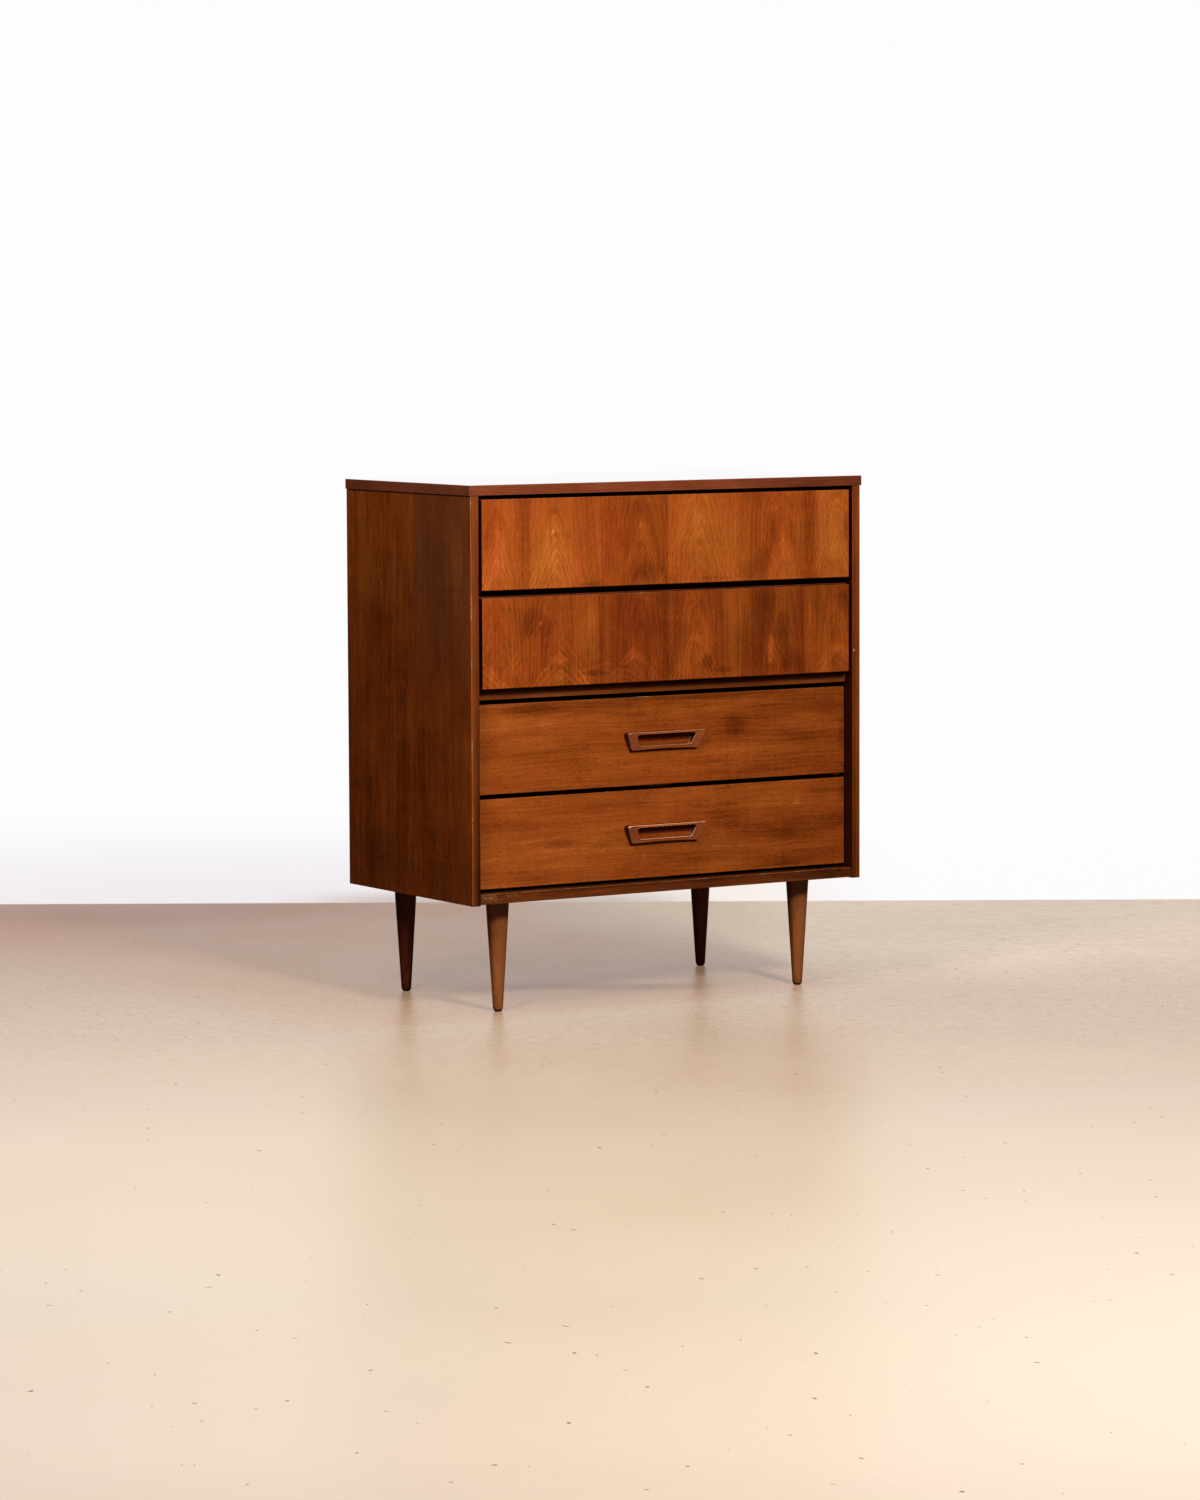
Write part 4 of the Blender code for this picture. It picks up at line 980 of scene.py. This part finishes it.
SLOT_WIDTH = 1.1 * MM
SLOT_DEPTH = 1.0 * MM
SCREW_STEM_RADIUS = 2 * MM
PULL_SCREW_HEAD = 2.6 * MM
PLATE_SCREW_RADIUS = 3.4 * MM
PLATE_SCREW_HEAD = 1.6 * MM
PLATE_SCREW_INSET = 8 * MM
SCREW_SEGMENTS = 32
HEAD_STEPS = 6
FIRST_SLOT_TURN = 0.5
NEXT_SLOT_TURN = 1.9


def head_profile(radius, height, stem_length):
    """A low domed head standing on Z = 0, with its stem below."""
    profile = [(0, height)]
    for step in range(1, HEAD_STEPS + 1):
        angle = math.pi / 2 * (1 - step / HEAD_STEPS)
        profile.append((radius * math.cos(angle), height * (0.3 + 0.7 * math.sin(angle))))
    profile += [
        (radius, 0), (SCREW_STEM_RADIUS, 0), (SCREW_STEM_RADIUS, -stem_length),
        (0, -stem_length - SCREW_STEM_RADIUS),
    ]
    return profile


def cut_slots(screws, places, radius, height):
    """Cuts a straight slot across each head; places are the heads' own frames."""
    shape = bmesh.new()
    for turn, place in enumerate(places):
        size = Matrix.Diagonal((2.4 * radius, SLOT_WIDTH, 2 * SLOT_DEPTH, 1))
        lift = Matrix.Translation((0, 0, height))
        turned = Matrix.Rotation(FIRST_SLOT_TURN + NEXT_SLOT_TURN * turn, 4, "Z")
        bmesh.ops.create_cube(shape, size=1.0, matrix=place @ lift @ turned @ size)
    cutter = make_piece("slots", shape)
    cut = screws.modifiers.new("slots", "BOOLEAN")
    cut.operation = "DIFFERENCE"
    cut.solver = "EXACT"
    cut.object = cutter
    bpy.context.view_layer.update()
    seen = screws.evaluated_get(bpy.context.evaluated_depsgraph_get())
    plain = screws.data
    screws.data = bpy.data.meshes.new_from_object(seen)
    screws.modifiers.clear()
    bpy.data.meshes.remove(plain)
    bpy.data.objects.remove(cutter, do_unlink=True)
    screws.data.name = screws.name


def make_screws(name, places, radius, height, stem_length, body, material, *nodes):
    shape = bmesh.new()
    for place in places:
        turn_profile(shape, head_profile(radius, height, stem_length), SCREW_SEGMENTS, place)
    screws = make_piece(name, shape, math.radians(50))
    cut_slots(screws, places, radius, height)
    fit_piece(screws, body, "zinc_steel", material, *nodes)


def make_pull_screws(drawer, material):
    for hand in ("left", "right"):
        node = f"{drawer}_pull_screw_{hand}"
        low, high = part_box(node)
        radius = (high.x - low.x) / 2
        centre = Vector(((low.x + high.x) / 2, high.y - PULL_SCREW_HEAD, (low.z + high.z) / 2))
        stem = centre.y - low.y - SCREW_STEM_RADIUS
        place = Matrix.Translation(centre) @ Matrix.Rotation(-math.pi / 2, 4, "X")
        make_screws("slotted_" + node, [place], radius, PULL_SCREW_HEAD, stem, drawer, material, node)


def make_plate_screws(place_name, material):
    """Four round-headed screws up through the corners of a leg's mounting plate."""
    low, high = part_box("leg_plate_" + place_name)
    places = []
    for x in (low.x + PLATE_SCREW_INSET, high.x - PLATE_SCREW_INSET):
        for y in (low.y + PLATE_SCREW_INSET, high.y - PLATE_SCREW_INSET):
            places.append(Matrix.Translation((x, y, low.z)) @ Matrix.Rotation(math.pi, 4, "X"))
    name = "plate_screws_" + place_name
    make_screws(name, places, PLATE_SCREW_RADIUS, PLATE_SCREW_HEAD, 2 * MM, "case", material)


# Scene

VIEW_YAW = 0.558058
VIEW_TILT = 0.087432
VIEW_ROLL = -0.0043001
VIEW_FROM = Vector((-5.6112, -8.9678, 1.4272))
LENS = 122.56
WALL_BEHIND = 1.55
FLOOR_BOUNCE = 0.3
FLOOR_LIFT = 0.3
BACKDROP = "FDFCFF"
# BACKDROP_FOOT is the painted shade along the backdrop's foot.
BACKDROP_FOOT = "F0EBEE"
FLOOR_REACH = 14.0
FLOOR_NEAR = -5.0
FLOOR_RUN = (
    (0.10, "DEC7AF"), (0.25, "C7B69F"), (0.38, "BDAB94"), (0.53, "BBA892"), (0.765, "C6AF96"),
    (0.98, "D8BFA0"),
)
ROOM_MIRRORED = 0.02
ROOM_FILL = 0.08
CEILING_FILL = 0.45
BACKDROP_FILL = 0.3


def away(x, y):
    """How far a level place or direction goes away from the camera."""
    return x * math.sin(VIEW_YAW) + y * math.cos(VIEW_YAW)


def floor_colour(p, aside, behind, mottle):
    """Brown near the camera and pale at the backdrop, with painted shade at the left, under the case and
    behind it, and painted light at the right.
    """
    colour = p.ramp((behind - FLOOR_NEAR) / (WALL_BEHIND - FLOOR_NEAR), FLOOR_RUN)
    # Painted shade at the left, under the case and behind it at the left; edge_of_shade darkens the front
    # edge of the case's painted shadow.
    painted_shade_left = aside.fade(-1.3, 0.3) * behind.ease(-0.8, 1.5)
    colour = p.tint(painted_shade_left, colour, "DCC2B4")
    under = p.x.band(-1.0, -0.5, 0.40, 0.62) * p.y.ease(-0.32, -0.18)
    colour = p.tint(under, colour, "F6E4DC")
    painted_shade_far_left = aside.fade(-0.4, 0.05) * behind.ease(0.9, 1.45)
    colour = p.tint(painted_shade_far_left, colour, "EED8C8")
    # Painted light at the right, lifting the floor behind the case on that side.
    painted_light_far_right = aside.ease(0.2, 0.55) * behind.ease(-0.2, 0.8)
    colour = p.mix(painted_light_far_right * 0.6, colour, "F6E0C6")
    edge_of_shade = p.marks(aside, behind, ((-20, 30, 290, 90, 1.0),), 5.0, wobble=0.5, rough=(4.0, 8.0))
    colour = p.tint(edge_of_shade, colour, "D8BEB0")
    mottled = mottle.fade(0.38, 0.62) * behind.ease(-2.2, -0.6, 0.06, 0.46)
    colour = p.mix(mottled, colour, "A47E5C")
    worn = behind.ease(-1.1, -0.6) * behind.ease(0.1, 0.9, 1.0, 0.25)
    grit = p.noise(aside * 60.0, behind * 44.0, 7.0, detail=4.0, roughness=0.7).ease(0.52, 0.68)
    colour = p.mix(grit * worn * 0.4, colour, "8C684A")
    speck = p.noise(p.x * 55.0, p.y * 38.0, 3.0, detail=1.0).ease(0.765, 0.78)
    return p.mix(speck * 0.8, colour, "4E3A2C")


def backdrop_colour(p, aside, behind):
    """White, with a little painted shade along its foot and a painted shadow where the case shades it."""
    foot = behind.fade(WALL_BEHIND, 3.8) * aside.ease(0.2, 0.8, 1.0, 0.03) * aside.ease(-2.2, -1.0, 0.6, 1.0)
    shaded = behind.fade(WALL_BEHIND, WALL_BEHIND + 0.35) * aside.band(-0.85, -0.45, 0.0, 0.3)
    foot_tone = p.mix(shaded, p.mix(aside.ease(-0.3, 0.2), BACKDROP_FOOT, "F6EDE6"), "CCBEB4")
    return p.mix(foot, BACKDROP, foot_tone)


def stage_floor():
    """A pale floor with a white backdrop behind it; other pieces see it darker than the camera does."""
    shape = bmesh.new()
    corners = ((-1, -1), (1, -1), (1, 1), (-1, 1))
    shape.faces.new([shape.verts.new((x * FLOOR_REACH, y * FLOOR_REACH, 0)) for x, y in corners])
    floor = make_piece("floor", shape)
    p = Paint("floor_concrete", specular=0.4)
    behind = away(p.x, p.y)
    aside = p.x * math.cos(VIEW_YAW) - p.y * math.sin(VIEW_YAW)
    cloud = p.noise(p.x * 1.6, p.y * 1.6, detail=5.0, roughness=0.6)
    fine = p.noise(aside * 24.0, behind * 34.0, detail=7.0, roughness=0.8)
    colour = floor_colour(p, aside, behind, cloud * 0.4 + fine * 0.6)
    seen = Field(p.new("ShaderNodeLightPath").outputs["Is Camera Ray"])
    dimmed = p.mix(seen.ease(0.0, 1.0, FLOOR_BOUNCE, 1.0), "000000", colour)
    p.finish(dimmed, cloud * 0.2 + fine * 0.1 + 0.22)
    # For camera rays the floor also glows with FLOOR_LIFT of its own colour: painted light that lifts it and
    # its shadows.
    surface = wired(p.shader, {"Emission Color": colour, "Emission Strength": seen * FLOOR_LIFT})
    white = wired(p.new("ShaderNodeEmission"), {"Color": backdrop_colour(p, aside, behind)})
    past_line = behind.ease(WALL_BEHIND - 0.01, WALL_BEHIND + 0.01)
    both = wired(p.new("ShaderNodeMixShader"), {0: past_line * seen, 1: surface, 2: white})
    connect(both, p.tree.nodes["Material Output"].inputs["Surface"])
    floor.data.materials.append(p.material)
    floor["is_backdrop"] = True


def place_camera():
    lens = bpy.data.cameras.new("photo_camera")
    lens.lens = LENS
    lens.sensor_width = 36
    lens.clip_end = 100
    camera = add_object("photo_camera", lens)
    turned = Matrix.Rotation(-VIEW_YAW, 4, "Z") @ Matrix.Rotation(math.pi / 2 - VIEW_TILT, 4, "X")
    camera.matrix_world = Matrix.Translation(VIEW_FROM) @ turned @ Matrix.Rotation(VIEW_ROLL, 4, "Z")
    bpy.context.scene.camera = camera


def add_lamp(name, place, target, size, power):
    light = bpy.data.lights.new(name, "AREA")
    light.shape = "DISK"
    light.size = size
    light.energy = power
    lamp = add_object(name, light)
    lamp.location = place
    lamp.rotation_mode = "QUATERNION"
    lamp.rotation_quaternion = (Vector(place) - Vector(target)).to_track_quat("Z", "Y")


def light_world():
    """A white backdrop behind the part, a soft ceiling above it and a dim room in front of it."""
    world = bpy.data.worlds.new("studio")
    bpy.context.scene.world = world
    world.use_nodes = True
    world.cycles.sampling_method = "NONE"
    nodes = world.node_tree.nodes
    rays = nodes.new("ShaderNodeLightPath").outputs
    mirror_ray = Field(rays["Is Glossy Ray"]).most(Field(rays["Is Transmission Ray"]))
    x, y, z = Field(nodes.new("ShaderNodeTexCoord").outputs["Generated"]).split()
    behind = away(x, y)
    backdrop = behind.ease(0.86, 0.95, ROOM_MIRRORED, 1.0)
    fill = z.ease(0.3, 0.9, ROOM_FILL, CEILING_FILL) + behind.ease(0.3, 0.9, 0.0, BACKDROP_FILL)
    strength = Field(rays["Is Camera Ray"]).most(mirror_ray * backdrop).most((1.0 - mirror_ray) * fill)
    wired(nodes["Background"], {"Color": tone(BACKDROP), "Strength": strength})


def paint_case():
    side_paint("left_side_panel", 21.0, -1, 0.54, 0.02, 0.5)
    side_paint("right_side_panel", 24.0, 1, 0.31, 0.06, 0.1)
    top_paint("top_panel", 31.0)
    timber_paint(
        "base_front_lip", SOLID_TONES, 40.0, roughness=0.4, share=0.6, shade=-0.17,
        marks=(
            (-150, 238, 60, 8, 0.08), (-300, 240, 50, 9, -0.08), (0, 247, 900, 7, -0.12),
            (370, 240, 170, 16, -0.16), (140, 243, 100, 8, -0.06),
        ),
        chips=((-425, 241, 32, 12, 0.5), (-380, 244, 30, 5, 0.4), (436, 247, 14, 1.5, 0.5)),
    )
    # The middle rail: its last mark is a painted highlight along the lower arris, and above 650 mm it is
    # dark with a painted shadow of the second drawer's front.
    timber_paint(
        "middle_divider_rail", SOLID_TONES, 41.0, roughness=0.4, share=0.4, shade=0.0,
        marks=((-300, 640, 90, 6, 0.06), (200, 640, 120, 6, -0.05), (-100, 637, 700, 2, 0.18)),
        shadowed_from=650 * MM,
    )
    for index, node in enumerate(("top_drawer_front", "second_drawer_front")):
        timber_paint(node, COVE_TONES, 44.0 + index, roughness=0.7, share=0.0, shade=0.1)
    box_timber_paint("base_panel", "X", 50.0, stained=True)
    back_paint("back_panel")
    rails = ("middle_rear", "upper_front", "upper_rear", "lower_front", "lower_rear")
    for index, rail in enumerate(rails):
        box_timber_paint(rail + "_rail", "X", 60.0 + index, stained=True)


def paint_drawers():
    overlay_paint("top_drawer_overlay_panel", 1.0, 0.04, -0.04, **TOP_OVERLAY)
    overlay_paint("second_drawer_overlay_panel", 1.0, -0.06, 0.05, **SECOND_OVERLAY)
    lower_front_paint("third_drawer_front", 11.0, 0.03, 0.14, THIRD_FRONT_MARKS, THIRD_FRONT_CHIPS)
    lower_front_paint("bottom_drawer_front", 17.0, 0.05, 0.22, BOTTOM_FRONT_MARKS, BOTTOM_FRONT_CHIPS)
    seed = 65.0
    for drawer in ("top_drawer", "second_drawer", "third_drawer", "bottom_drawer"):
        for part, grain in (
            ("left_side", "Y"), ("right_side", "Y"), ("channel", "Y"), ("runner", "Y"),
            ("back", "X"), ("bottom", "X"),
        ):
            box_timber_paint(f"{drawer}_{part}", grain, seed)
            seed += 1.0


def main():
    paint_case()
    paint_drawers()
    zinc = metal_paint("zinc_steel", ((0.3, "8E8C84"), (0.5, "B4B2AA"), (0.7, "CFCDC6")))
    glide = metal_paint("glide_metal", ((0.3, "2A241E"), (0.5, "4A4036"), (0.7, "6E6252")), 0.35)
    for place in ("front_left", "front_right", "rear_left", "rear_right"):
        assign("leg_plate_" + place, zinc)
        assign("glide_" + place, glide)
        make_plate_screws(place, zinc)
    for drawer, seed, rim_light in (("third_drawer", 46.0, 0.4), ("bottom_drawer", 48.0, 1.0)):
        make_pull(drawer, seed, rim_light)
        make_pull_screws(drawer, zinc)
    # The rear legs' darker tones and larger shade offsets are painted shade: the case shades them.
    for place, seed, tones, shade in (
        ("front_left", 80.0, LEG_TONES, 0.02), ("front_right", 83.0, LEG_TONES, -0.02),
        ("rear_left", 86.0, SHADED_REAR_LEG_TONES, -0.13), ("rear_right", 89.0, SHADED_REAR_LEG_TONES, 0.07),
    ):
        make_leg(place, seed, tones, shade)
    stage_floor()
    place_camera()
    add_lamp("key", (-0.5, -4.6, 3.25), (-0.2, -0.25, 0.6), 0.8, 185)
    add_lamp("side", (-2.3, -1.6, 2.4), (-0.4, -0.1, 0.6), 1.2, 48)
    light_world()
    bpy.context.scene.view_settings.view_transform = "Standard"


main()

boxes = {"cad": cad_box, "visual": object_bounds()}
{key: [list(corner) for corner in box] for key, box in boxes.items()}
